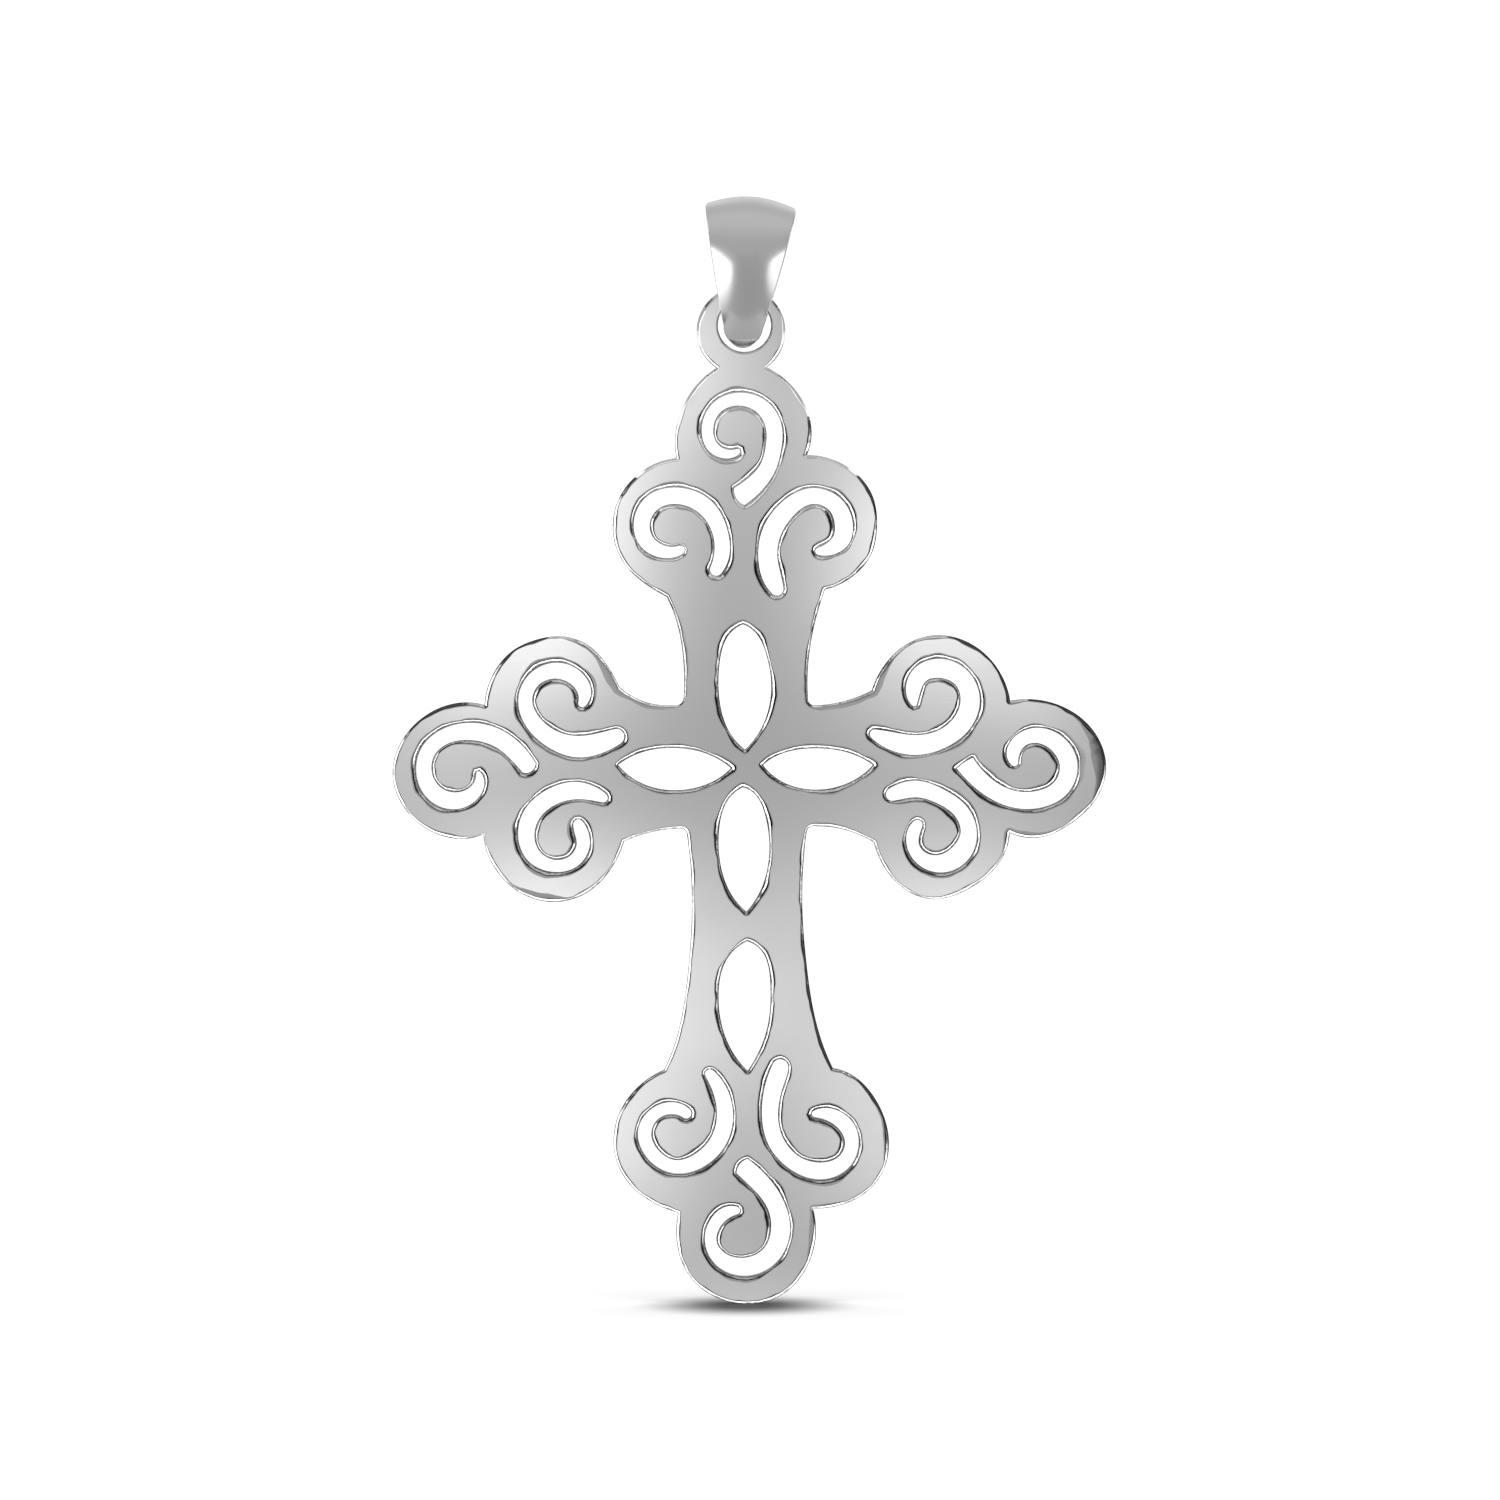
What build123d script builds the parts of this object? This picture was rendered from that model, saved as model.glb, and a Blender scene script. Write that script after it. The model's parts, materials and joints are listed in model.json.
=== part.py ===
"""Pierced silver cross pendant: a flat sawn plate with its own eyelet, hung from a tapered bail.

Row frame: +Z up, the front faces -Y, +X to the right seen from the front. The origin is the chain's
seat, at the middle of the inside of the bail's crown. All sizes are in millimetres.

The plate is drawn about the crossing of its arms, as (x, z) with z upwards. The bail is drawn about
the eyelet's top bar, round which it swings.
"""

import os
from math import asin, cos, radians, sin

from build123d import *

# Plate
PLATE_THICKNESS = 1.2

# Eyelet, about the crossing
EYELET_CENTRE = (-0.25, 21.92)
EYELET_RADIUS = 2.22
HOLE_CENTRE = (-0.08, 22.2)
HOLE_RADIUS = 1.33

# Bail, about the middle of the eyelet's top bar
EYELET_TOP = EYELET_CENTRE[1] + EYELET_RADIUS
HOLE_TOP = HOLE_CENTRE[1] + HOLE_RADIUS
BAR_CENTRE_Z = (EYELET_TOP + HOLE_TOP) / 2
BAIL_CENTRE_X = -0.03
BAIL_LEAN = 3.6
BAIL_TOP = 4.84
BAIL_BOTTOM = -2.76
CROWN_DEPTH_RADIUS = 2.4
STRIP_THICKNESS = 0.55
SWING_RADIUS = 1.4
FOLD_RADIUS = 1.35
CROWN_HALF_WIDTH = 2.3
CROWN_SHOULDER_Z = 4.25
CROWN_CORNER_RADIUS = 0.25
SIDE_HALF_WIDTH = 1.72
SIDE_Z = 1.22
TIP_HALF_WIDTH = 1.06
TIP_SHOULDER_Z = -1.5
SEAM_WIDTH = 0.12
SEAM_INSET = 0.08

# Where the crossing of the arms lies below the chain's seat
SEAT_HEIGHT = BAIL_TOP - STRIP_THICKNESS
CROSSING = (
    -BAIL_CENTRE_X - SEAT_HEIGHT * sin(radians(BAIL_LEAN)),
    -BAR_CENTRE_Z - SEAT_HEIGHT * cos(radians(BAIL_LEAN)),
)

# The plate's outline, clockwise from the eyelet's left notch. Each run is a smooth curve from the
# last run's end through its points, and the runs meet at the notches between the buds.
LEFT_NOTCH = (-1.4, 20.12)
RIGHT_NOTCH = (0.9, 20.15)
NECK_ROOT = (0, 19.7)
OUTLINE = [
    # top bud, right side
    [(2.45, 19.0), (3.28, 17.0), (3.05, 15.72)],
    # upper right bud
    [(4.3, 15.5), (5.5, 14.8), (6.3, 13.75), (6.56, 12.2), (6.25, 10.7), (5.3, 9.6), (3.95, 8.98)],
    # right side of the top arm, and the corner under it
    [(3.45, 7.3), (3.13, 5.4), (3.1, 3.6)],
    [(3.17, 3.3), (3.45, 3.19)],
    # upper side of the right arm
    [(4.9, 3.4), (6.3, 3.95)],
    # right arm: upper bud, end bud, lower bud
    [(6.85, 5.1), (7.95, 6.2), (9.5, 6.7), (11.2, 6.3), (12.5, 5.15), (13.22, 3.42)],
    [(14.5, 3.48), (16.1, 3.0), (17.4, 1.9), (18.02, 0.1), (17.55, -1.45), (16.3, -2.7),
     (14.9, -3.38), (13.2, -3.2)],
    [(12.85, -4.4), (11.9, -5.5), (10.6, -6.25), (9.4, -6.52), (7.85, -5.95), (6.85, -4.8), (6.4, -3.68)],
    # lower side of the right arm, and the corner under it
    [(5.2, -3.12), (3.55, -2.87)],
    [(3.17, -2.92), (3.03, -3.2)],
    # right side of the shaft
    [(2.87, -4.8), (2.82, -6.8), (3.02, -9.6), (3.5, -12.6), (4.35, -14.97)],
    # foot: right bud, bottom bud, left bud
    [(5.45, -15.4), (6.5, -16.55), (7.1, -18.1), (7.0, -19.75), (6.1, -21.1), (4.7, -21.82), (3.35, -21.98)],
    [(3.5, -23.2), (3.1, -24.8), (1.95, -26.2), (-0.1, -26.75), (-2.0, -26.15), (-3.15, -24.8),
     (-3.48, -23.4), (-3.4, -22.2)],
    [(-4.8, -21.6), (-6.0, -20.55), (-6.6, -19.0), (-6.45, -17.5), (-5.6, -16.1), (-4.1, -15.05)],
    # left side of the shaft
    [(-3.4, -13.2), (-2.95, -10.6), (-2.72, -7.6), (-2.75, -5.2), (-2.95, -3.3)],
    # corner, and the lower side of the left arm
    [(-3.05, -3.05), (-3.35, -2.97)],
    [(-4.7, -3.15), (-6.1, -3.62)],
    # left arm: lower bud, end bud, upper bud
    [(-6.75, -5.0), (-7.85, -6.13), (-9.4, -6.65), (-11.1, -6.3), (-12.4, -5.2), (-13.15, -3.28)],
    [(-14.4, -3.5), (-16.0, -2.98), (-17.2, -1.8), (-17.68, -0.1), (-17.25, 1.35), (-16.0, 2.7),
     (-14.5, 3.3), (-13.08, 3.2)],
    [(-12.75, 4.55), (-11.7, 5.9), (-10.4, 6.5), (-9.2, 6.64), (-7.9, 6.2), (-6.95, 5.2), (-6.33, 4.1)],
    # upper side of the left arm, and the corner
    [(-5.2, 3.42), (-3.6, 3.2)],
    [(-3.25, 3.28), (-3.12, 3.6)],
    # left side of the top arm
    [(-3.13, 5.3), (-3.38, 7.0), (-3.98, 8.62)],
    # upper left bud
    [(-5.1, 9.3), (-6.15, 10.35), (-6.66, 11.9), (-6.35, 13.55), (-5.3, 14.83), (-3.48, 15.56)],
    # top bud, left side
    [(-3.48, 17.1), (-2.65, 19.0), LEFT_NOTCH],
]

# Scroll slots: (x, z, width) at stations along the slot's middle, from the curled tip to the tail
SCROLLS = {
    "top": [
        (-0.4, 15.9, 0.3), (-0.95, 15.77, 0.45), (-1.6, 16.05, 0.55), (-1.93, 17.0, 0.57),
        (-1.42, 18.13, 0.6), (-0.35, 18.52, 0.66), (0.85, 18.08, 0.75), (1.41, 17.0, 0.8),
        (1.36, 16.0, 0.78), (1.1, 15.1, 0.8), (0.55, 14.35, 0.9), (-0.33, 13.64, 1.0),
    ],
    "upper_left": [
        (-3.25, 10.98, 0.45), (-4.1, 10.87, 0.62), (-4.95, 11.35, 0.75), (-5.22, 12.3, 0.8),
        (-4.68, 13.33, 0.85), (-3.5, 13.68, 0.83), (-2.05, 13.12, 0.85), (-1.27, 11.75, 0.75),
        (-1.22, 10.7, 0.75), (-1.53, 9.92, 0.6),
    ],
    "upper_right": [
        (3.6, 10.9, 0.35), (4.15, 11.0, 0.62), (4.75, 11.45, 0.85), (4.9, 12.2, 0.9),
        (4.5, 13.2, 0.82), (3.4, 13.67, 0.8), (1.97, 12.9, 0.9), (1.2, 11.6, 0.95),
        (1.1, 10.5, 0.95), (1.33, 9.5, 0.9), (1.58, 8.95, 0.65),
    ],
    "left_upper": [
        (-8.22, 3.25, 0.4), (-8.1, 3.9, 0.68), (-8.6, 4.62, 0.78), (-9.6, 4.92, 0.78),
        (-10.68, 4.4, 0.7), (-11.05, 3.4, 0.7), (-10.65, 2.33, 0.8), (-9.7, 1.5, 0.9),
        (-8.45, 1.12, 1.06), (-7.2, 1.33, 0.98), (-6.4, 1.66, 0.75),
    ],
    "left_end": [
        (-13.4, -0.2, 0.25), (-13.38, -0.8, 0.55), (-14.1, -1.5, 0.78), (-15.3, -1.42, 0.85),
        (-16.05, -0.5, 0.8), (-15.9, 0.9, 0.75), (-14.9, 1.7, 0.78), (-13.6, 1.87, 0.86),
        (-12.3, 1.48, 0.88), (-11.3, 0.62, 0.88), (-10.85, 0.05, 0.8),
    ],
    "left_lower": [
        (-8.42, -2.72, 0.5), (-8.25, -3.15, 0.66), (-8.15, -3.8, 0.65), (-8.62, -4.6, 0.62),
        (-9.6, -4.85, 0.6), (-10.65, -4.32, 0.75), (-11.0, -3.3, 0.82), (-10.7, -2.25, 0.86),
        (-9.72, -1.4, 0.85), (-8.5, -1.08, 0.86), (-7.6, -1.25, 0.68), (-7.1, -1.47, 0.45),
    ],
    "right_upper": [
        (8.43, 3.25, 0.3), (8.37, 3.95, 0.74), (8.72, 4.72, 0.85), (9.8, 5.03, 0.95),
        (10.85, 4.5, 0.92), (11.22, 3.4, 0.97), (10.85, 2.35, 0.96), (9.8, 1.5, 0.92),
        (8.5, 1.2, 0.98), (7.3, 1.4, 0.88), (6.38, 1.77, 0.46),
    ],
    "right_end": [
        (13.45, 0.3, 0.4), (13.38, 0.85, 0.67), (13.78, 1.45, 0.68), (14.6, 1.68, 0.75),
        (15.6, 1.25, 0.87), (16.15, 0.2, 0.9), (15.78, -0.92, 0.87), (14.6, -1.53, 0.85),
        (13.25, -1.47, 0.83), (12.05, -0.85, 0.85), (10.95, 0.3, 0.98),
    ],
    "right_lower": [
        (8.62, -2.75, 0.5), (8.38, -3.2, 0.64), (8.37, -3.87, 0.6), (8.88, -4.53, 0.7),
        (9.8, -4.73, 0.9), (10.75, -4.2, 1.0), (11.15, -3.2, 0.82), (10.78, -2.15, 0.75),
        (9.75, -1.38, 0.75), (8.5, -1.0, 0.82), (7.6, -1.17, 0.74), (7.25, -1.3, 0.62),
    ],
    "foot_left": [
        (-2.95, -17.27, 0.52), (-3.6, -16.98, 0.6), (-4.55, -17.25, 0.6), (-5.07, -18.15, 0.66),
        (-4.75, -19.17, 0.68), (-3.6, -19.9, 0.68), (-2.2, -19.5, 0.77), (-1.25, -18.35, 0.82),
        (-1.05, -17.3, 0.8), (-1.28, -16.15, 0.72), (-1.85, -15.22, 0.47),
    ],
    "foot_right": [
        (3.42, -17.27, 0.34), (4.1, -17.28, 0.62), (5.0, -17.85, 0.75), (5.3, -18.7, 0.68),
        (4.92, -19.65, 0.75), (3.8, -20.12, 0.85), (2.42, -19.7, 0.78), (1.45, -18.55, 0.8),
        (1.2, -17.3, 0.8), (1.38, -15.95, 0.87), (1.75, -14.85, 0.8),
    ],
    "foot_bottom": [
        (-0.45, -22.1, 0.4), (-1.0, -22.22, 0.6), (-1.64, -22.93, 0.6), (-1.76, -23.7, 0.58),
        (-1.32, -24.48, 0.75), (-0.2, -24.92, 0.92), (1.2, -24.35, 0.95), (1.73, -23.1, 0.95),
        (1.5, -21.85, 0.88), (0.7, -20.7, 0.95), (-0.2, -19.87, 0.92),
    ],
}
ROUND_END = 0.4
BLUNT_TAILS = {"top": 0.18, "left_end": 0.25, "right_end": 0.04, "foot_bottom": 0.16}

# Pointed oval windows: one side from the first point to the second, then the other side back
WINDOWS = {
    "top": (
        [(-0.15, 7.24), (0.4, 6.9), (1.05, 5.6), (1.26, 4.15), (0.95, 2.45), (-0.05, 0.98)],
        [(-0.05, 0.98), (-0.95, 2.1), (-1.35, 3.7), (-1.33, 5.2), (-0.9, 6.65), (-0.15, 7.24)],
    ),
    "left": (
        [(-6.4, 0.2), (-5.6, 0.68), (-3.7, 1.05), (-1.95, 0.75), (-0.76, 0.04)],
        [(-0.76, 0.04), (-1.5, -0.53), (-3.3, -1.05), (-5.0, -0.8), (-6.4, 0.2)],
    ),
    "right": (
        [(0.86, 0.2), (1.55, 0.66), (3.5, 1.03), (5.3, 0.75), (6.35, 0.2)],
        [(6.35, 0.2), (5.4, -0.55), (3.6, -1.03), (2.0, -0.72), (0.86, 0.2)],
    ),
    "middle": (
        [(-0.15, -0.92), (0.4, -1.22), (1.0, -2.5), (1.17, -3.9), (0.8, -5.9), (0.02, -7.14)],
        [(0.02, -7.14), (-0.8, -6.15), (-1.33, -4.4), (-1.34, -3.0), (-0.9, -1.55), (-0.15, -0.92)],
    ),
    "shaft": (
        [(0.05, -8.62), (0.72, -9.03), (1.22, -10.9), (1.05, -13.0), (0.08, -15.1)],
        [(0.08, -15.1), (-0.95, -13.6), (-1.37, -11.4), (-1.05, -9.7), (0.05, -8.62)],
    ),
}


def plate_outline():
    """The cross's outline as one face, with the eyelet's disc joined to its neck."""
    here = RIGHT_NOTCH
    edges = []
    for points in OUTLINE:
        edges.append(Spline(here, *points))
        here = points[-1]
    edges.append(Line(LEFT_NOTCH, RIGHT_NOTCH))
    neck = make_face(Polyline(LEFT_NOTCH, EYELET_CENTRE, RIGHT_NOTCH, NECK_ROOT, LEFT_NOTCH))
    disc = Pos(*EYELET_CENTRE) * Circle(EYELET_RADIUS)
    return make_face(edges) + disc + neck


def station_tangents(points):
    """Unit tangents at each station, from the chords on both sides weighted by their length."""
    chords = [b - a for a, b in zip(points, points[1:])]
    inner = [
        (before.normalized() * after.length + after.normalized() * before.length).normalized()
        for before, after in zip(chords, chords[1:])
    ]
    first = (chords[0].normalized() * 2 - inner[0]).normalized()
    last = (chords[-1].normalized() * 2 - inner[-1]).normalized()
    return [first, *inner, last]


def scroll_slot(stations, tail_bulge):
    """The plan of one scroll: two edges a varying width apart, closed by a cap at each end."""
    middle = [Vector(x, z) for x, z, _ in stations]
    tangents = station_tangents(middle)
    halves = [width / 2 for _, _, width in stations]
    left = [p + t.rotate(Axis.Z, 90) * h for p, t, h in zip(middle, tangents, halves)]
    right = [p - t.rotate(Axis.Z, 90) * h for p, t, h in zip(middle, tangents, halves)]
    tip = middle[0] - tangents[0] * halves[0] * 2 * ROUND_END
    tail = middle[-1] + tangents[-1] * halves[-1] * 2 * tail_bulge
    return make_face(
        [
            Spline(*left),
            ThreePointArc(left[-1], tail, right[-1]),
            Spline(*reversed(right)),
            ThreePointArc(right[0], tip, left[0]),
        ]
    )


def build_plate():
    """The pierced plate, about the crossing of its arms."""
    plan = plate_outline()
    plan -= Pos(*HOLE_CENTRE) * Circle(HOLE_RADIUS)
    for name, stations in SCROLLS.items():
        plan -= scroll_slot(stations, BLUNT_TAILS.get(name, ROUND_END))
    for side, other_side in WINDOWS.values():
        plan -= make_face([Spline(*side), Spline(*other_side)])
    return extrude(Plane.XZ * plan, PLATE_THICKNESS / 2, both=True)


def teardrop(top_radius, top_z, bottom_radius, bottom_z):
    """The plan of two circles joined by their outer tangents, in (y, z)."""
    slope = asin((top_radius - bottom_radius) / (top_z - bottom_z))
    side = Vector(cos(slope), -sin(slope))
    top = Vector(0, top_z)
    bottom = Vector(0, bottom_z)
    mirrored = Vector(-side.X, side.Y)
    return make_face(
        [
            ThreePointArc(
                top + mirrored * top_radius, top + Vector(0, top_radius), top + side * top_radius
            ),
            Line(top + side * top_radius, bottom + side * bottom_radius),
            ThreePointArc(
                bottom + side * bottom_radius,
                bottom - Vector(0, bottom_radius),
                bottom + mirrored * bottom_radius,
            ),
            Line(bottom + mirrored * bottom_radius, top + mirrored * top_radius),
        ]
    )


def bail_front(inset=0.0):
    """The bail's shape seen from the front: wide and domed at the crown, round at the tip."""
    crown = CROWN_HALF_WIDTH - inset
    side = SIDE_HALF_WIDTH - inset
    tip = TIP_HALF_WIDTH - inset
    plan = make_face(
        [
            ThreePointArc((-tip, TIP_SHOULDER_Z), (-side, SIDE_Z), (-crown, CROWN_SHOULDER_Z)),
            ThreePointArc((-crown, CROWN_SHOULDER_Z), (0, BAIL_TOP), (crown, CROWN_SHOULDER_Z)),
            ThreePointArc((crown, CROWN_SHOULDER_Z), (side, SIDE_Z), (tip, TIP_SHOULDER_Z)),
            ThreePointArc((tip, TIP_SHOULDER_Z), (0, BAIL_BOTTOM + inset), (-tip, TIP_SHOULDER_Z)),
        ]
    )
    return fillet(plan.vertices().sort_by(Axis.Y)[-2:], CROWN_CORNER_RADIUS)


def build_bail():
    """The folded strip and the solder that closes its tips, about the eyelet's top bar."""
    depth = 2 * CROWN_DEPTH_RADIUS
    crown_z = BAIL_TOP - CROWN_DEPTH_RADIUS
    outer = teardrop(CROWN_DEPTH_RADIUS, crown_z, FOLD_RADIUS, BAIL_BOTTOM + FOLD_RADIUS)
    inner = teardrop(CROWN_DEPTH_RADIUS - STRIP_THICKNESS, crown_z, SWING_RADIUS, 0)
    loop = extrude(Plane.YZ * (outer - inner), CROWN_HALF_WIDTH, both=True)
    shape = loop & extrude(Plane.XZ * bail_front(), depth, both=True)
    seam = Pos(0, 0, BAIL_BOTTOM / 2) * Box(depth, SEAM_WIDTH, -BAIL_BOTTOM)
    solder = shape & seam & extrude(Plane.XZ * bail_front(SEAM_INSET), depth, both=True)
    return shape - seam, solder


def main():
    """Builds the three pieces in place and writes one STEP file for each."""
    os.makedirs("parts", exist_ok=True)
    strip, solder = build_bail()
    bar = Pos(CROSSING[0] + BAIL_CENTRE_X, 0, CROSSING[1] + BAR_CENTRE_Z) * Rot(0, BAIL_LEAN, 0)
    pieces = {
        "cross_plate": Pos(CROSSING[0], 0, CROSSING[1]) * build_plate(),
        "bail_strip": bar * strip,
        "bail_solder": bar * solder,
    }
    for name, piece in pieces.items():
        export_step(piece, f"parts/{name}.step")
        print(name, round(piece.volume, 3), piece.bounding_box().size)


if __name__ == "__main__":
    main()
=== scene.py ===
"""A pierced silver cross pendant and its bail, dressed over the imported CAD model.

The plate is a sawn and hand-polished sheet: its outline, scroll slots and windows are read from the
CAD plate, and every sawn edge gets its hand-eased rounding. The bail is a folded strip, wide at its
crown and narrow at its soldered tips. Sizes are in metres, in the frame's own axes: +Z up, the front
faces -Y.
"""

import json
import logging
import math
from dataclasses import dataclass, field
from enum import Enum
from typing import Callable, ClassVar, Sequence

import bmesh
import bpy
import numpy as np
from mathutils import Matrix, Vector
from mathutils.geometry import delaunay_2d_cdt


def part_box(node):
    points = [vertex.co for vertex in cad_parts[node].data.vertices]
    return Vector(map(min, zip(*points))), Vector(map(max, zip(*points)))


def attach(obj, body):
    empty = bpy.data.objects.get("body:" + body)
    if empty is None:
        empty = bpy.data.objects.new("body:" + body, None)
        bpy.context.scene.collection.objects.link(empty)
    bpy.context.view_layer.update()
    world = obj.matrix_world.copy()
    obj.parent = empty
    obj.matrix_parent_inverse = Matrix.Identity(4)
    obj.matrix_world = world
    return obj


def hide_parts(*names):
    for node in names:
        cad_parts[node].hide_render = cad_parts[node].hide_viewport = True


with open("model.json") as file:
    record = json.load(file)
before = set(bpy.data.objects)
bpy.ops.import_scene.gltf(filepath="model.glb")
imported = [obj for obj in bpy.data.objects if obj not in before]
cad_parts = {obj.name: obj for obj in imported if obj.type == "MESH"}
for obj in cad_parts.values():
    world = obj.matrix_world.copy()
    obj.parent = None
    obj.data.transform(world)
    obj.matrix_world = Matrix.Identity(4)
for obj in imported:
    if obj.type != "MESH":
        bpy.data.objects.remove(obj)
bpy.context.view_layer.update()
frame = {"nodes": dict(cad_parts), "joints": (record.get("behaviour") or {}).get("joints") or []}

MM = 0.001
LOG = logging.getLogger("pendant")

# The socket types that the node groups use
NUMBER = "NodeSocketFloat"
VECTOR = "NodeSocketVector"
GEOMETRY = "NodeSocketGeometry"
MATERIAL = "NodeSocketMaterial"

# How far the eyelet's top bar lies above the crossing of the arms
BAR_ABOVE_CROSSING = 23.835 * MM


def swing_centre() -> Vector:
    """Returns the middle of the eyelet's top bar, which the cross swings about."""
    return Vector(frame["joints"][0]["pos_m"])


def crossing() -> Vector:
    """Returns the crossing of the cross's arms."""
    return swing_centre() - Vector((0, 0, BAR_ABOVE_CROSSING))


# ---------------------------------------------------------------------------------------------
# Node trees
# ---------------------------------------------------------------------------------------------


class Tree:
    """A thin hand over a node tree, so that a rule reads as one line."""

    def __init__(self, tree: bpy.types.NodeTree) -> None:
        """Wraps a tree.

        Args:
            tree: the node tree to add nodes to.
        """
        self.tree = tree

    def node(self, kind: str, **settings: object) -> bpy.types.Node:
        """Adds a node.

        Args:
            kind: the node's type name.
            settings: the node's own properties.

        Returns:
            The new node.
        """
        made = self.tree.nodes.new(kind)
        for name, value in settings.items():
            setattr(made, name, value)
        return made

    def feed(self, socket: bpy.types.NodeSocket, value: object) -> None:
        """Links a socket to another, or sets it to a plain value.

        Args:
            socket: the input socket.
            value: an output socket, or a number, vector or other plain value.
        """
        if isinstance(value, bpy.types.NodeSocket):
            self.tree.links.new(value, socket)
        elif value is not None:
            socket.default_value = value

    def math(self, operation: str, *values: object, clamp: bool = False) -> bpy.types.NodeSocket:
        """Adds a Math node.

        Args:
            operation: its operation's name.
            values: its inputs, in order.
            clamp: whether the result is kept within 0 and 1.

        Returns:
            Its result.
        """
        made = self.node("ShaderNodeMath", operation=operation, use_clamp=clamp)
        for socket, value in zip(made.inputs, values):
            self.feed(socket, value)
        return made.outputs[0]

    def vector(self, operation: str, *values: object) -> bpy.types.NodeSocket:
        """Adds a Vector Math node.

        Args:
            operation: its operation's name.
            values: its vector inputs, in order; for SCALE the second is the scale.

        Returns:
            Its vector result.
        """
        made = self.node("ShaderNodeVectorMath", operation=operation)
        self.feed(made.inputs[0], values[0])
        if operation == "SCALE":
            self.feed(made.inputs["Scale"], values[1])
        elif len(values) > 1:
            self.feed(made.inputs[1], values[1])
        return made.outputs["Vector"]

    def axes(self, vector: object) -> bpy.types.NodeOutputs:
        """Splits a vector.

        Args:
            vector: the vector's socket.

        Returns:
            Its "X", "Y" and "Z".
        """
        made = self.node("ShaderNodeSeparateXYZ")
        self.feed(made.inputs[0], vector)
        return made.outputs

    def joined(self, x: object = None, y: object = None, z: object = None) -> bpy.types.NodeSocket:
        """Makes a vector of three numbers.

        Args:
            x: the number along X, none for 0.
            y: the number along Y, none for 0.
            z: the number along Z, none for 0.

        Returns:
            The vector.
        """
        made = self.node("ShaderNodeCombineXYZ")
        for socket, value in zip(made.inputs, (x, y, z)):
            self.feed(socket, value)
        return made.outputs[0]

    def share_group(self, group: bpy.types.NodeTree, **values: object) -> bpy.types.NodeOutputs:
        """Adds a shared group.

        Args:
            group: the group.
            values: input name to socket or plain value.

        Returns:
            Its outputs.
        """
        made = self.node("ShaderNodeGroup", node_tree=group)
        for name, value in values.items():
            self.feed(made.inputs[name], value)
        return made.outputs

    def bump(self, height: object, depth: float, below: object = None) -> bpy.types.NodeSocket:
        """Adds a Bump node.

        Args:
            height: the height's socket.
            depth: how far a height of 1 rises, in metres.
            below: the normal of the bump that it lies on, if any.

        Returns:
            The bumped normal.
        """
        made = self.node("ShaderNodeBump")
        made.inputs["Strength"].default_value = 1.0
        made.inputs["Distance"].default_value = depth
        self.feed(made.inputs["Height"], height)
        self.feed(made.inputs["Normal"], below)
        return made.outputs["Normal"]

    def ramp(
        self, value: object, low: object, high: object, to_low: object = 0.0, to_high: object = 1.0,
        smooth: bool = True,
    ) -> bpy.types.NodeSocket:
        """Adds a Map Range node.

        Args:
            value: the number to map.
            low: where the mapping starts.
            high: where it ends.
            to_low: the result at low.
            to_high: the result at high.
            smooth: whether it eases in and out.

        Returns:
            Its result.
        """
        made = self.node("ShaderNodeMapRange", interpolation_type="SMOOTHSTEP" if smooth else "LINEAR")
        for name, number in (
            ("Value", value), ("From Min", low), ("From Max", high), ("To Min", to_low), ("To Max", to_high)
        ):
            self.feed(made.inputs[name], number)
        return made.outputs["Result"]

    def noise(
        self, where: object, scale: object, detail: float = 2.0, dimensions: str = "3D", extra: object = None
    ) -> bpy.types.NodeSocket:
        """Adds a Noise Texture.

        Args:
            where: the coordinates it reads.
            scale: its scale.
            detail: its detail.
            dimensions: "3D", or "4D" with a fourth coordinate.
            extra: the fourth coordinate of a 4D noise.

        Returns:
            Its value, about 0.5 in the middle.
        """
        made = self.node("ShaderNodeTexNoise", noise_dimensions=dimensions)
        self.feed(made.inputs["Vector"], where)
        self.feed(made.inputs["Scale"], scale)
        self.feed(made.inputs["Detail"], detail)
        if extra is not None:
            self.feed(made.inputs["W"], extra)
        return made.outputs[0]

    def turned(self, where: object, turn: Sequence[float], stretch: Sequence[float]) -> bpy.types.NodeSocket:
        """Adds a Mapping node.

        Args:
            where: the coordinates to turn.
            turn: the rotation, in degrees.
            stretch: the scale along each axis.

        Returns:
            The turned and stretched coordinates.
        """
        made = self.node("ShaderNodeMapping")
        self.feed(made.inputs["Vector"], where)
        made.inputs["Rotation"].default_value = [math.radians(angle) for angle in turn]
        made.inputs["Scale"].default_value = stretch
        return made.outputs["Vector"]

    def mix(self, share: object, first: object, second: object) -> bpy.types.NodeSocket:
        """Adds a colour Mix node.

        Args:
            share: 0 for the first colour, 1 for the second.
            first: the first colour.
            second: the second colour.

        Returns:
            The mixed colour.
        """
        made = self.node("ShaderNodeMix", data_type="RGBA")
        self.feed(made.inputs[0], share)
        self.feed(made.inputs[6], first)
        self.feed(made.inputs[7], second)
        return made.outputs[2]


def new_group(name: str, kind: str, inputs: dict, outputs: dict) -> tuple:
    """Makes an empty node group with named sockets.

    Args:
        name: the group's name.
        kind: ShaderNodeTree or GeometryNodeTree.
        inputs: socket name to (socket type, default value).
        outputs: socket name to socket type.

    Returns:
        The wrapped tree, its input node's outputs and its output node's inputs.
    """
    group = bpy.data.node_groups.new(name, kind)
    for label, (socket_type, value) in inputs.items():
        made = group.interface.new_socket(label, in_out="INPUT", socket_type=socket_type)
        if value is not None:
            made.default_value = value
    for label, socket_type in outputs.items():
        group.interface.new_socket(label, in_out="OUTPUT", socket_type=socket_type)
    tree = Tree(group)
    return tree, tree.node("NodeGroupInput").outputs, tree.node("NodeGroupOutput").inputs


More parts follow.
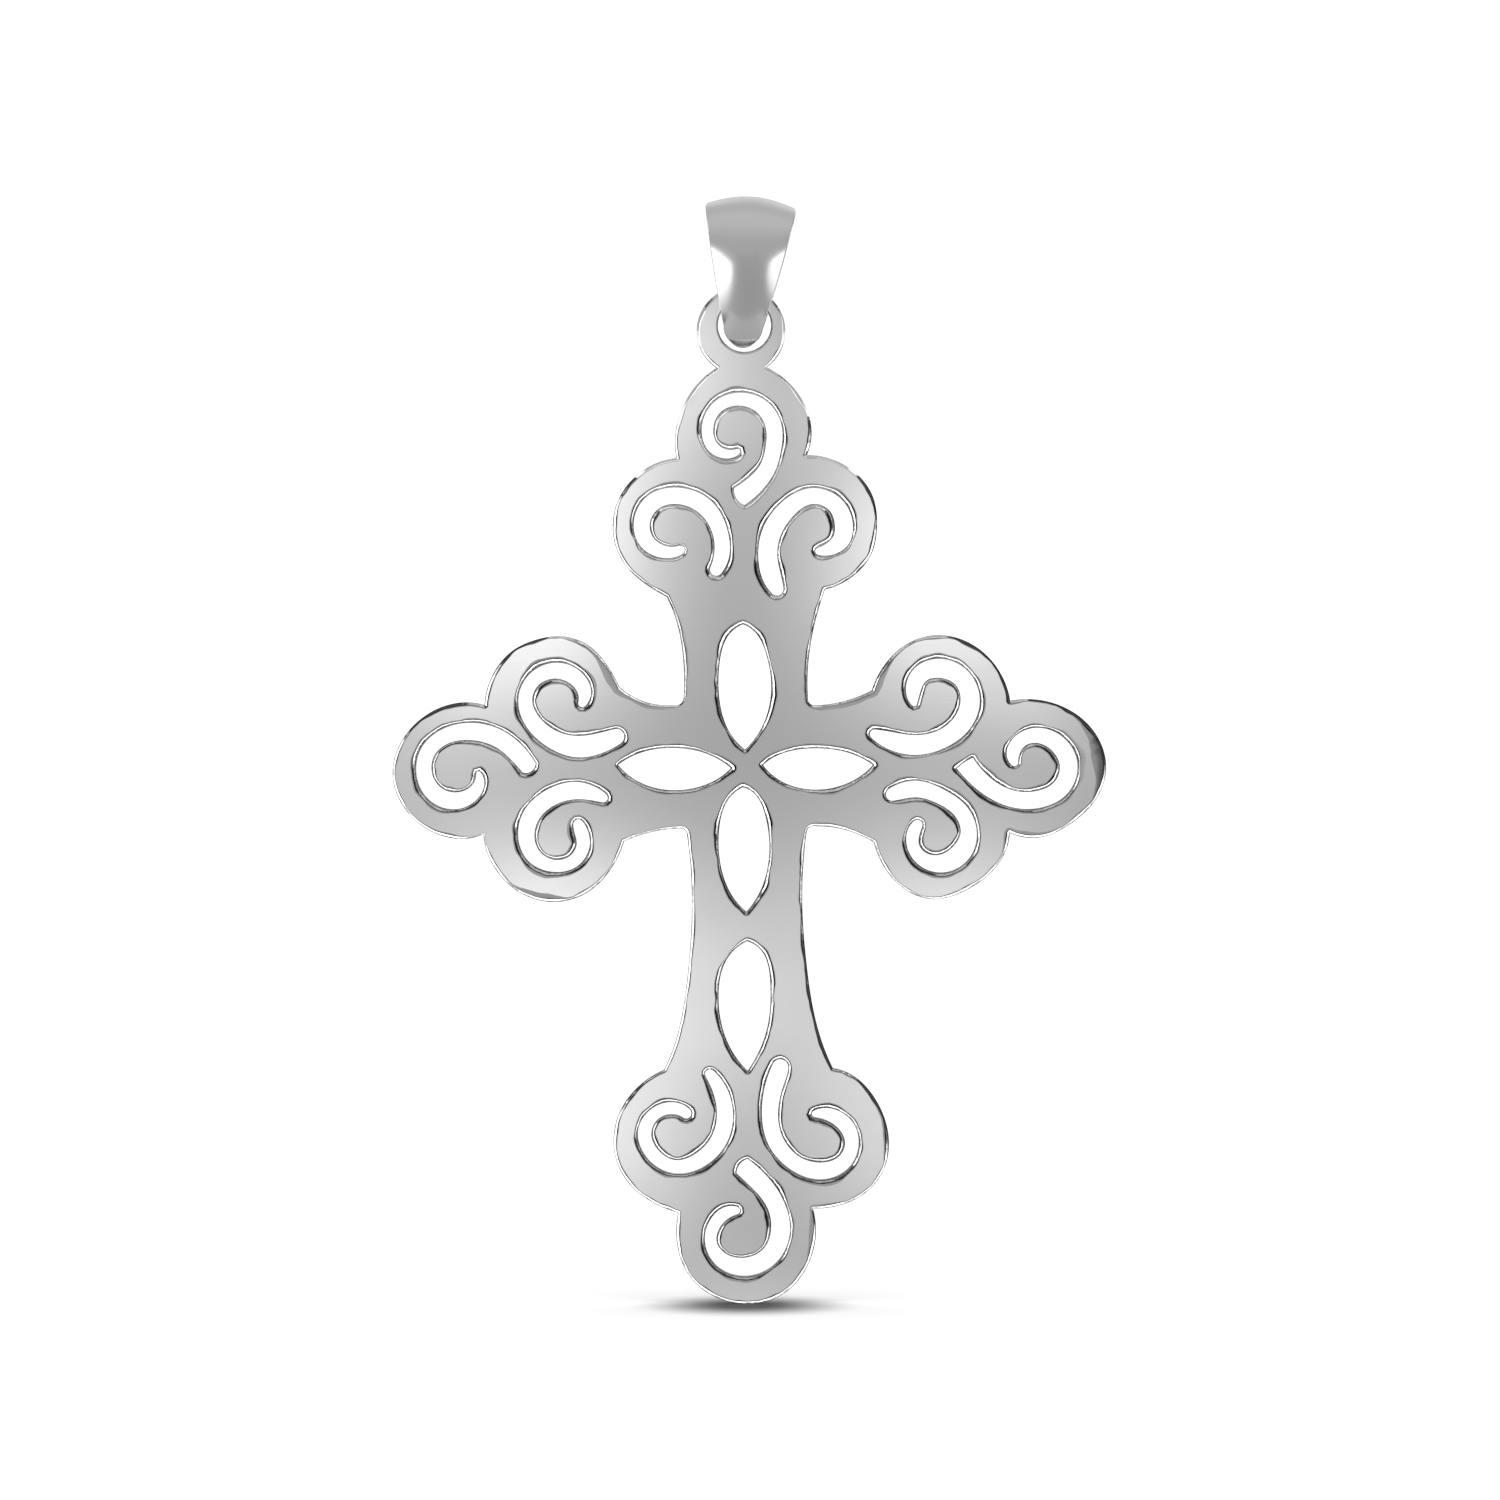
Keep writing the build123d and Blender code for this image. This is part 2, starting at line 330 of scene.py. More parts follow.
# ---------------------------------------------------------------------------------------------
# Finishes
# ---------------------------------------------------------------------------------------------


def make_polishing_marks() -> bpy.types.NodeTree:
    """Makes the group that lays fine polishing hairlines in three directions.

    Returns:
        The node group, with a mask of the marks and their height.
    """
    tree, given, result = new_group(
        "polishing_marks",
        "ShaderNodeTree",
        {"Where": (VECTOR, None), "Fineness": (NUMBER, 9000.0)},
        {"Marks": NUMBER, "Height": NUMBER},
    )
    total = None
    for turn in (17.0, -38.0, 74.0):
        laid = tree.turned(given["Where"], (0, turn, 0), (0.04, 1.0, 1.0))
        lines = tree.noise(laid, given["Fineness"], 3.0)
        patches = tree.noise(tree.turned(given["Where"], (0, turn, 40), (1, 1, 1)), 260.0, 1.0)
        worn = tree.math("MULTIPLY", tree.ramp(lines, 0.52, 0.72), tree.ramp(patches, 0.42, 0.62))
        total = worn if total is None else tree.math("ADD", total, worn)
    tree.feed(result["Marks"], tree.math("MULTIPLY", total, 0.6, clamp=True))
    tree.feed(result["Height"], tree.math("MULTIPLY", total, -1.0))
    return tree.tree


def make_hand_waviness() -> bpy.types.NodeTree:
    """Makes the group for the slow unevenness that a polishing wheel leaves.

    Returns:
        The node group, with the height of the surface.
    """
    tree, given, result = new_group(
        "hand_waviness",
        "ShaderNodeTree",
        {"Where": (VECTOR, None), "Scale": (NUMBER, 220.0)},
        {"Height": NUMBER},
    )
    slow = tree.noise(given["Where"], given["Scale"], 1.0)
    quick = tree.noise(given["Where"], tree.math("MULTIPLY", given["Scale"], 4.0), 1.0)
    tree.feed(result["Height"], tree.math("ADD", slow, tree.math("MULTIPLY", quick, 0.12)))
    return tree.tree


def make_tarnish() -> bpy.types.NodeTree:
    """Makes the group for the faint dulling that stays where the wheel doesn't reach.

    Returns:
        The node group, with a mask that is 1 where the silver is dullest.
    """
    tree, given, result = new_group(
        "tarnish",
        "ShaderNodeTree",
        {"Where": (VECTOR, None), "Shelter": (NUMBER, 0.0), "Amount": (NUMBER, 0.5)},
        {"Mask": NUMBER},
    )
    clouds = tree.ramp(tree.noise(given["Where"], 420.0, 4.0), 0.35, 0.75)
    held = tree.math("ADD", tree.math("MULTIPLY", given["Shelter"], 0.75), 0.25)
    mask = tree.math("MULTIPLY", tree.math("MULTIPLY", clouds, held), given["Amount"], clamp=True)
    tree.feed(result["Mask"], mask)
    return tree.tree


def make_filing_marks() -> bpy.types.NodeTree:
    """Makes the group for the short irregular strokes left on the eased edges.

    Returns:
        The node group, with the height of the strokes, level away from the edges.
    """
    tree, given, result = new_group(
        "filing_marks",
        "ShaderNodeTree",
        {"Where": (VECTOR, None), "Edge": (NUMBER, 0.0), "Scale": (NUMBER, 3200.0)},
        {"Height": NUMBER},
    )
    strokes = tree.noise(given["Where"], given["Scale"], 3.0)
    facets = tree.noise(given["Where"], tree.math("MULTIPLY", given["Scale"], 0.35), 1.0)
    total = tree.math("MULTIPLY_ADD", facets, 1.6, strokes)
    tree.feed(result["Height"], tree.math("MULTIPLY", total, tree.ramp(given["Edge"], 0.02, 0.5)))
    return tree.tree


class Groups:
    """The shader groups that every finish shares, each built once."""

    def __init__(self) -> None:
        """Builds the groups."""
        self.marks = make_polishing_marks()
        self.waviness = make_hand_waviness()
        self.tarnish = make_tarnish()
        self.filing = make_filing_marks()


@dataclass(frozen=True)
class SilverFinish:
    """A silver surface worked by hand.

    Attributes:
        name: the material's name.
        bright: the colour where it is polished.
        dull: the colour where it is tarnished.
        roughness: the roughness of the polished face.
        sheltered_roughness: the added roughness on sawn walls.
        marks_roughness: the added roughness along the polishing marks.
        marks_depth: the depth of the polishing marks.
        wave_height: the height of the slow unevenness.
        tarnish: how far the silver has dulled.
        filing_depth: the depth of the file's strokes on the edges.
        tarnish_roughness: the added roughness where the silver is dullest.
    """

    name: str
    bright: tuple
    dull: tuple
    roughness: float
    sheltered_roughness: float
    marks_roughness: float
    marks_depth: float
    wave_height: float
    tarnish: float
    filing_depth: float
    tarnish_roughness: float = 0.12

    def make(self, groups: Groups) -> bpy.types.Material:
        """Builds the material.

        Args:
            groups: the shared shader groups.

        Returns:
            The material.
        """
        material = bpy.data.materials.new(self.name)
        material.use_nodes = True
        tree = Tree(material.node_tree)
        shader = material.node_tree.nodes["Principled BSDF"]
        where = tree.node("ShaderNodeTexCoord").outputs["Object"]
        polish = tree.node("ShaderNodeAttribute", attribute_name="polish").outputs["Fac"]
        shelter = tree.math("SUBTRACT", 1.0, polish, clamp=True)

        marks = tree.share_group(groups.marks, Where=where)
        waves = tree.share_group(groups.waviness, Where=where)
        dulled = tree.share_group(groups.tarnish, Where=where, Shelter=shelter, Amount=self.tarnish)
        filed = tree.share_group(groups.filing, Where=where, Edge=shelter)

        tree.feed(shader.inputs["Base Color"], tree.mix(dulled["Mask"], self.bright, self.dull))
        rough = tree.math("MULTIPLY_ADD", shelter, self.sheltered_roughness, self.roughness)
        rough = tree.math("MULTIPLY_ADD", marks["Marks"], self.marks_roughness, rough)
        rough = tree.math("MULTIPLY_ADD", dulled["Mask"], self.tarnish_roughness, rough)
        tree.feed(shader.inputs["Roughness"], rough)
        shader.inputs["Metallic"].default_value = 1.0
        slow = tree.bump(waves["Height"], self.wave_height)
        fine = tree.bump(marks["Height"], self.marks_depth, slow)
        tree.feed(shader.inputs["Normal"], tree.bump(filed["Height"], self.filing_depth, fine))
        return material


class Finish(Enum):
    """The pendant's finishes."""

    PLATE = SilverFinish(
        name="plate_silver",
        bright=(0.93, 0.93, 0.93, 1),
        dull=(0.70, 0.69, 0.67, 1),
        roughness=0.11,
        sheltered_roughness=0.0,
        marks_roughness=0.02,
        marks_depth=1e-7,
        wave_height=2e-6,
        tarnish=0.3,
        filing_depth=2e-5,
    )
    BAIL = SilverFinish(
        name="bail_silver",
        bright=(0.93, 0.93, 0.93, 1),
        dull=(0.72, 0.71, 0.69, 1),
        roughness=0.24,
        sheltered_roughness=0.08,
        marks_roughness=0.03,
        marks_depth=1e-7,
        wave_height=1e-6,
        tarnish=0.2,
        filing_depth=2e-6,
    )
    SOLDER = SilverFinish(
        name="solder",
        bright=(0.80, 0.79, 0.77, 1),
        dull=(0.50, 0.49, 0.46, 1),
        roughness=0.30,
        sheltered_roughness=0.10,
        marks_roughness=0.10,
        marks_depth=4e-7,
        wave_height=4e-6,
        tarnish=0.7,
        filing_depth=1e-5,
    )


# ---------------------------------------------------------------------------------------------
# Meshes
# ---------------------------------------------------------------------------------------------


def new_mesh_object(name: str, vertices: np.ndarray, faces: Sequence[Sequence[int]]) -> bpy.types.Object:
    """Makes a mesh object at the origin.

    Args:
        name: the object's name.
        vertices: its vertices, in metres.
        faces: its faces, as vertex numbers.

    Returns:
        The object, linked to the scene.
    """
    mesh = bpy.data.meshes.new(name)
    mesh.from_pydata([tuple(vertex) for vertex in vertices], [], [tuple(face) for face in faces])
    made = bpy.data.objects.new(name, mesh)
    bpy.context.scene.collection.objects.link(made)
    return made


def put_attribute(mesh: bpy.types.Mesh, name: str, values: np.ndarray) -> None:
    """Stores a number or a vector for each vertex.

    Args:
        mesh: the mesh.
        name: the attribute's name.
        values: one row for each vertex.
    """
    if values.ndim == 2:
        made = mesh.attributes.new(name, "FLOAT_VECTOR", "POINT")
        made.data.foreach_set("vector", values.astype(np.float32).ravel())
    else:
        made = mesh.attributes.new(name, "FLOAT", "POINT")
        made.data.foreach_set("value", values.astype(np.float32))


def shape_with(
    piece: bpy.types.Object, group: bpy.types.NodeTree, sizes: dict, name: str
) -> bpy.types.Object:
    """Runs a Geometry Nodes tree over a piece and takes its result as a plain mesh object.

    Args:
        piece: the object that the tree shapes; it is removed afterwards.
        group: the tree.
        sizes: input name to value.
        name: the name of the object that comes out.

    Returns:
        The shaped object, linked to the scene.
    """
    modifier = piece.modifiers.new(group.name, "NODES")
    modifier.node_group = group
    keys = {item.name: item.identifier for item in group.interface.items_tree if item.in_out == "INPUT"}
    for label, value in sizes.items():
        modifier[keys[label]] = value
    shaped = bpy.data.meshes.new_from_object(piece.evaluated_get(bpy.context.evaluated_depsgraph_get()))
    shaped.name = name
    piece.modifiers.remove(modifier)
    spare = piece.data
    bpy.data.objects.remove(piece)
    bpy.data.meshes.remove(spare)
    made = bpy.data.objects.new(name, shaped)
    bpy.context.scene.collection.objects.link(made)
    return made


def named(tree: Tree, name: str, kind: str = "FLOAT") -> bpy.types.NodeSocket:
    """Reads an attribute inside a Geometry Nodes tree.

    Args:
        tree: the tree.
        name: the attribute's name.
        kind: FLOAT or FLOAT_VECTOR.

    Returns:
        Its value.
    """
    made = tree.node("GeometryNodeInputNamedAttribute", data_type=kind)
    made.inputs["Name"].default_value = name
    return made.outputs["Attribute"]


def finish_tree(tree: Tree, geometry: object, material: object, result: bpy.types.NodeInputs) -> None:
    """Ends a Geometry Nodes tree in Realize Instances and Set Material.

    Args:
        tree: the tree.
        geometry: the geometry so far.
        material: the material's socket.
        result: the group output's inputs.
    """
    realized = tree.node("GeometryNodeRealizeInstances")
    tree.feed(realized.inputs[0], geometry)
    dressed = tree.node("GeometryNodeSetMaterial")
    tree.feed(dressed.inputs["Geometry"], realized.outputs[0])
    tree.feed(dressed.inputs["Material"], material)
    tree.feed(result["Geometry"], dressed.outputs["Geometry"])


# ---------------------------------------------------------------------------------------------
# The plate
# ---------------------------------------------------------------------------------------------


def front_loops(node: bpy.types.Object) -> list:
    """Reads the closed edges of a flat plate's front face.

    Args:
        node: the CAD node of the plate, whose front faces -Y.

    Returns:
        One array of (x, z) points for each edge, in metres.
    """
    flat = bmesh.new()
    flat.from_mesh(node.data)
    bmesh.ops.remove_doubles(flat, verts=flat.verts, dist=1e-7)
    front = {face for face in flat.faces if face.normal.y < -0.99}
    beside: dict = {}
    for edge in flat.edges:
        if sum(face in front for face in edge.link_faces) == 1:
            first, second = edge.verts
            beside.setdefault(first, []).append(second)
            beside.setdefault(second, []).append(first)
    seen: set = set()
    loops = []
    for start in sorted(beside, key=lambda vertex: tuple(vertex.co)):
        if start in seen:
            continue
        loop = [start]
        seen.add(start)
        while True:
            onward = [vertex for vertex in beside[loop[-1]] if vertex not in seen]
            if not onward:
                break
            loop.append(onward[0])
            seen.add(onward[0])
        loops.append(np.array([(vertex.co.x, vertex.co.z) for vertex in loop]))
    flat.free()
    return loops


def signed_area(points: np.ndarray) -> float:
    """Returns a loop's area, positive where it runs anticlockwise."""
    following = np.roll(points, -1, axis=0)
    return float(np.sum(points[:, 0] * following[:, 1] - following[:, 0] * points[:, 1]) / 2)


def left_of(direction: np.ndarray) -> np.ndarray:
    """Returns unit vectors a quarter turn left of the given directions."""
    turned = np.stack([-direction[..., 1], direction[..., 0]], axis=-1)
    return turned / np.maximum(np.linalg.norm(turned, axis=-1, keepdims=True), 1e-12)


def way_along(points: np.ndarray) -> np.ndarray:
    """Returns how far along a line each of its points lies."""
    return np.concatenate([[0], np.cumsum(np.linalg.norm(np.diff(points, axis=0), axis=1))])


def places_at(stops: np.ndarray, travelled: np.ndarray, points: np.ndarray) -> np.ndarray:
    """Finds places along a line.

    Args:
        stops: how far along the line each place lies.
        travelled: how far along it each of its points lies.
        points: its points.

    Returns:
        The places.
    """
    return np.stack([np.interp(stops, travelled, points[:, axis]) for axis in (0, 1)], axis=1)


def turn_between(first: np.ndarray, second: np.ndarray) -> np.ndarray:
    """Returns the angle from the first directions to the second, positive to the left."""
    leftward = first[..., 0] * second[..., 1] - first[..., 1] * second[..., 0]
    return np.arctan2(leftward, np.sum(first * second, axis=-1))


def smooth_run(points: np.ndarray, spacing: float, closed: bool) -> tuple:
    """Lays evenly spaced points on a smooth curve through the given ones.

    Args:
        points: the points of one run, its ends included.
        spacing: the distance between the new points.
        closed: whether the run's end meets its start smoothly.

    Returns:
        The new points and their directions of travel.
    """
    chords = np.diff(points, axis=0)
    lengths = np.maximum(np.linalg.norm(chords, axis=1), 1e-9)
    slopes = chords / lengths[:, None]
    ahead, behind = lengths[1:, None], lengths[:-1, None]
    inner = (slopes[:-1] * ahead + slopes[1:] * behind) / (ahead + behind)
    if closed:
        joint = (slopes[-1] * lengths[0] + slopes[0] * lengths[-1]) / (lengths[0] + lengths[-1])
        tangents = np.vstack([joint, inner, joint])
    elif len(inner):
        tangents = np.vstack([2 * slopes[0] - inner[0], inner, 2 * slopes[-1] - inner[-1]])
    else:
        tangents = np.vstack([slopes[0], slopes[0]])
    share = np.linspace(0, 1, 9)[:-1]
    places = []
    for start, end, out, into, length in zip(points, points[1:], tangents, tangents[1:], lengths):
        t = share[:, None]
        places.append(
            start * (2 * t**3 - 3 * t**2 + 1)
            + out * length * (t**3 - 2 * t**2 + t)
            + end * (3 * t**2 - 2 * t**3)
            + into * length * (t**3 - t**2)
        )
    dense = np.vstack([*places, points[-1:]])
    travelled = way_along(dense)
    count = max(4, int(round(travelled[-1] / spacing)))
    stops = np.linspace(0, travelled[-1], count + 1)
    reach = 0.35 * spacing
    direction = places_at(stops + reach, travelled, dense) - places_at(stops - reach, travelled, dense)
    if closed:
        direction[0] = direction[-1] = direction[0] + direction[-1]
    return places_at(stops, travelled, dense), direction


@dataclass
class SawnEdge:
    """One sawn edge of the plate, run with the silver on its left.

    Attributes:
        points: the (x, z) points along it.
        inward: the unit vector at each point that leads into the silver.
        corner_turn: the turn between two chords that makes a sharp corner, and each step of a fan.
        fan_turn: the turn of an outer corner that gets a fan.
    """

    points: np.ndarray
    inward: np.ndarray
    corner_turn: ClassVar[float] = math.radians(14)
    fan_turn: ClassVar[float] = math.radians(24)

    @classmethod
    def along(cls, loop: np.ndarray, outside: bool, spacing: float) -> "SawnEdge":
        """Smooths a loop, keeps its sharp corners and fans round them.

        Args:
            loop: the loop's points.
            outside: whether it is the plate's outline rather than a piercing.
            spacing: the distance between points.

        Returns:
            The edge.
        """
        if (signed_area(loop) > 0) != outside:
            loop = loop[::-1]
        turns = turn_between(loop - np.roll(loop, 1, axis=0), np.roll(loop, -1, axis=0) - loop)
        corners = [index for index, turn in enumerate(turns) if abs(turn) > cls.corner_turn]
        if not corners:
            points, direction = smooth_run(np.vstack([loop, loop[:1]]), spacing, True)
            return cls(points[:-1], left_of(direction)[:-1])
        runs = []
        for start, end in zip(corners, corners[1:] + [corners[0] + len(loop)]):
            runs.append(smooth_run(np.take(loop, range(start, end + 1), axis=0, mode="wrap"), spacing, False))
        points, inward = [], []
        for index, (places, direction) in enumerate(runs):
            arriving_side = left_of(runs[index - 1][1])[-1]
            leaving_side = left_of(direction)[0]
            turn = turns[corners[index]]
            if turn < -cls.fan_turn:
                steps = max(2, int(math.ceil(-turn / cls.corner_turn)))
                opening = float(turn_between(arriving_side, leaving_side))
                for step in range(steps + 1):
                    cosine, sine = math.cos(opening * step / steps), math.sin(opening * step / steps)
                    inward.append(np.array([[cosine, -sine], [sine, cosine]]) @ arriving_side)
                    points.append(places[0])
            else:
                middle = arriving_side + leaving_side
                points.append(places[0])
                inward.append(middle / np.linalg.norm(middle))
            points.extend(places[1:-1])
            inward.extend(left_of(direction)[1:-1])
        return cls(np.array(points), np.array(inward))


@dataclass(frozen=True)
class EasedSpot:
    """A place where the file took more off the edge.

    Attributes:
        x: to the right of the crossing, in millimetres.
        z: above the crossing, in millimetres.
        reach: how far it spreads, in millimetres.
        extra: how much wider the rounding is there, in millimetres.
    """

    x: float
    z: float
    reach: float
    extra: float


def make_edge_tree() -> bpy.types.NodeTree:
    """Makes the tree that rounds the plate's sawn edges.

    It moves each point of a flat band from the sawn line into the silver and across the thickness by
    a quarter round, whose width wanders as a file's does.

    Returns:
        The Geometry Nodes tree.
    """
    tree, given, result = new_group(
        "eased_edge",
        "GeometryNodeTree",
        {
            "Geometry": (GEOMETRY, None),
            "Thickness": (NUMBER, 1.2 * MM),
            "Rounding": (NUMBER, 0.16 * MM),
            "Least Rounding": (NUMBER, 0.35),
            "Unevenness": (NUMBER, 0.5),
            "Filing Length": (NUMBER, 1.6 * MM),
            "Facet Slope": (NUMBER, 0.1),
            "Seed": (NUMBER, 4.0),
            "Finish": (MATERIAL, None),
        },
        {"Geometry": GEOMETRY},
    )
    place = tree.node("GeometryNodeInputPosition").outputs[0]
    lean, side, extra = (named(tree, name) for name in ("lean", "side", "extra"))
    fineness = tree.math("DIVIDE", 1.0, given["Filing Length"])
    strokes = tree.noise(place, fineness, 2.0, "4D", tree.math("MULTIPLY_ADD", side, 3.0, given["Seed"]))
    uneven = tree.math("MULTIPLY", given["Unevenness"], 4.0)
    wander = tree.math("MULTIPLY", tree.math("SUBTRACT", strokes, 0.5), uneven)
    wander = tree.math("MAXIMUM", tree.math("ADD", 1.0, wander), given["Least Rounding"])
    width = tree.math("MULTIPLY", tree.math("MULTIPLY", given["Rounding"], wander), named(tree, "share"))
    facet = tree.math("MULTIPLY", extra, named(tree, "facet"))
    inset = tree.math("MULTIPLY", width, tree.math("SUBTRACT", 1.0, tree.math("COSINE", lean)))
    inset = tree.math("ADD", inset, facet)
    dropped = tree.math("MULTIPLY", width, tree.math("SUBTRACT", 1.0, tree.math("SINE", lean)))
    dropped = tree.math("MULTIPLY_ADD", tree.math("SUBTRACT", extra, facet), given["Facet Slope"], dropped)
    half = tree.math("MULTIPLY", given["Thickness"], 0.5)
    across = tree.joined(y=tree.math("MULTIPLY", side, tree.math("SUBTRACT", half, dropped)))
    moved = tree.vector("ADD", tree.vector("SCALE", named(tree, "inward", "FLOAT_VECTOR"), inset), across)
    placed = tree.node("GeometryNodeSetPosition")
    tree.feed(placed.inputs["Geometry"], given["Geometry"])
    tree.feed(placed.inputs["Offset"], moved)
    finish_tree(tree, placed.outputs[0], given["Finish"], result)
    return tree.tree


@dataclass
class Plate:
    """The pierced plate with its eyelet.

    Attributes:
        rounding: the usual width of the eased edge, in metres.
        unevenness: how far that width wanders, as a share of it.
        outline_share: the rounding round the outline, as a share of the usual one.
        piercing_share: the rounding round the piercings, as a share of the usual one.
        eyelet_share: the rounding round the eyelet's hole, as a share of the usual one.
        eyelet_reach: how far below the eyelet's bar the middle of its hole lies at most.
        least_facet: the width of the flat facet where the file took no more off, in metres.
        spacing: the distance between points along an edge, in metres.
        steps: the number of steps in each quarter round.
        spots: where the file took more off.
    """

    rounding: float = 0.2 * MM
    unevenness: float = 0.65
    outline_share: float = 0.8
    piercing_share: float = 1.12
    eyelet_share: float = 0.5
    eyelet_reach: float = 3.0 * MM
    least_facet: float = 0.015 * MM
    spacing: float = 0.14 * MM
    steps: int = 5
    spots: tuple = field(
        default_factory=lambda: (
            EasedSpot(17.9, 0.6, 2.3, 0.55),
            EasedSpot(-6.7, 4.6, 1.7, 0.34),
            EasedSpot(-4.6, 3.3, 2.0, 0.14),
            EasedSpot(4.8, 3.4, 2.4, 0.18),
            EasedSpot(6.4, 4.4, 1.2, 0.25),
            EasedSpot(3.4, -23.0, 1.6, 0.2),
            EasedSpot(6.9, -18.0, 2.0, 0.08),
            EasedSpot(-2.9, 6.0, 3.0, 0.08),
            EasedSpot(-10.5, -6.8, 2.2, 0.22),
            EasedSpot(14.0, -3.4, 2.0, 0.12),
            EasedSpot(-9.2, -2.9, 1.2, 0.16),
        )
    )

    def edges(self) -> list:
        """Returns the plate's sawn edges, its outline first."""
        loops = sorted(front_loops(frame["nodes"]["cross_plate"]), key=lambda loop: -abs(signed_area(loop)))
        return [SawnEdge.along(loop, index == 0, self.spacing) for index, loop in enumerate(loops)]

    def share_along(self, number: int, edge: SawnEdge) -> float:
        """Works out how wide the rounding is along one edge.

        Args:
            number: the edge's number, 0 for the outline.
            edge: the edge.

        Returns:
            The rounding, as a share of the usual one.
        """
        if number == 0:
            return self.outline_share
        high_up = edge.points[:, 1].mean() > swing_centre().z - self.eyelet_reach
        return self.eyelet_share if high_up else self.piercing_share

    def extra_width(self, points: np.ndarray) -> np.ndarray:
        """Works out how much wider the rounding is at each point.

        Args:
            points: (x, z) points in the frame.

        Returns:
            The extra width at each, in metres.
        """
        middle = crossing()
        total = np.full(len(points), self.least_facet)
        for spot in self.spots:
            away = points - np.array([middle.x + spot.x * MM, middle.z + spot.z * MM])
            # A tenth of the extra is left at the spot's reach
            nearness = np.exp(-np.sum(away**2, axis=1) / (spot.reach * MM / 1.5) ** 2)
            total = np.maximum(total, spot.extra * MM * nearness)
        return total

    def band(self, edges: Sequence[SawnEdge]) -> tuple:
        """Makes the flat bands that the edge tree then shapes.

        Args:
            edges: the sawn edges.

        Returns:
            The object, and the first vertex number and the length of each edge.
        """
        # From the front's facet over the quarter round to the sawn wall, and back up to the back's facet
        quarter = np.linspace(math.pi / 2, 0, self.steps + 1)
        half = np.concatenate([quarter[:1], quarter])
        leans = np.concatenate([half, half[::-1]])
        sides = np.concatenate([-np.ones(len(half)), np.ones(len(half))])
        facets = np.zeros(len(leans))
        facets[[0, -1]] = 1.0
        rows = {name: [] for name in ("inward", "lean", "side", "extra", "share", "facet")}
        vertices, faces, spans, first = [], [], [], 0
        for number, edge in enumerate(edges):
            count = len(edge.points)
            extra, share = self.extra_width(edge.points), self.share_along(number, edge)
            for angle, which, flat in zip(leans, sides, facets):
                vertices.append(np.insert(edge.points, 1, 0.0, axis=1))
                rows["inward"].append(np.insert(edge.inward, 1, 0.0, axis=1))
                rows["extra"].append(extra)
                for name, value in (("lean", angle), ("side", which), ("share", share), ("facet", flat)):
                    rows[name].append(np.full(count, value))
            for low in range(first, first + (len(leans) - 1) * count, count):
                for index in range(count):
                    onward = (index + 1) % count
                    faces.append((low + index, low + onward, low + count + onward, low + count + index))
            spans.append((first, count))
            first += len(leans) * count
        piece = new_mesh_object("plate_band", np.vstack(vertices), faces)
        for name, values in rows.items():
            put_attribute(piece.data, name, np.concatenate(values))
        put_attribute(piece.data, "polish", np.concatenate(rows["lean"]) / (math.pi / 2))
        return piece, spans

    def close_faces(self, mesh: bpy.types.Mesh, spans: Sequence[tuple]) -> None:
        """Fills the flat front and back between the bands.

        Args:
            mesh: the shaped bands.
            spans: the first vertex number and the length of each edge.
        """
        places = np.empty(len(mesh.vertices) * 3, np.float32)
        mesh.vertices.foreach_get("co", places)
        places = places.reshape(-1, 3)
        rows = 2 * (self.steps + 2)
        work = bmesh.new()
        work.from_mesh(mesh)
        work.verts.ensure_lookup_table()
        for row, front in ((0, True), (rows - 1, False)):
            rings = [np.arange(first + row * count, first + (row + 1) * count) for first, count in spans]
            for corners in fill_between(places, rings):
                a, b, c = (Vector(places[corner]) for corner in corners)
                facing = (b - a).cross(c - a).y
                wanted = corners if (facing < 0) == front else corners[::-1]
                face = work.faces.new([work.verts[corner] for corner in wanted])
                face.smooth = False
                for edge in face.edges:
                    edge.smooth = False
        bmesh.ops.remove_doubles(work, verts=work.verts, dist=2e-7)
        work.to_mesh(mesh)
        work.free()

    def build(self, finish: bpy.types.Material) -> bpy.types.Object:
        """Builds the plate.

        Args:
            finish: its material.

        Returns:
            The plate's object.
        """
        piece, spans = self.band(self.edges())
        for face in piece.data.polygons:
            face.use_smooth = True
        low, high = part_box("cross_plate")
        made = shape_with(
            piece,
            make_edge_tree(),
            {
                "Thickness": high[1] - low[1],
                "Rounding": self.rounding,
                "Unevenness": self.unevenness,
                "Finish": finish,
            },
            "pierced_plate",
        )
        self.close_faces(made.data, spans)
        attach(made, "cross")
        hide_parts("cross_plate")
        return made


def fill_between(places: np.ndarray, rings: Sequence[np.ndarray]) -> list:
    """Triangulates the flat silver inside the outline and outside every piercing.

    Args:
        places: every vertex's place.
        rings: the vertex numbers of each ring, the outline's first.

    Returns:
        The triangles, as vertex numbers.
    """
    numbers = np.concatenate(rings)
    flat = places[numbers][:, [0, 2]] / MM
    sides, start = [], 0
    for ring in rings:
        count = len(ring)
        sides.extend((start + index, start + (index + 1) % count) for index in range(count))
        start += count
    found = delaunay_2d_cdt([Vector(point) for point in flat], sides, [], 0, 1e-6)
    spots, triangles, origins = np.array([tuple(spot) for spot in found[0]]), found[2], found[3]
    middles = np.array([spots[list(corners)].mean(axis=0) for corners in triangles])
    crossings = np.zeros(len(middles), int)
    for first, second in sides:
        (x1, z1), (x2, z2) = flat[first], flat[second]
        if z1 == z2:
            continue
        spans = (middles[:, 1] >= min(z1, z2)) & (middles[:, 1] < max(z1, z2))
        crossings += spans & (x1 + (middles[:, 1] - z1) * (x2 - x1) / (z2 - z1) > middles[:, 0])
    kept = []
    for corners, inside in zip(triangles, crossings % 2 == 1):
        owners = [origins[corner] for corner in corners]
        if inside and all(owners):
            kept.append(tuple(int(numbers[owner[0]]) for owner in owners))
    return kept


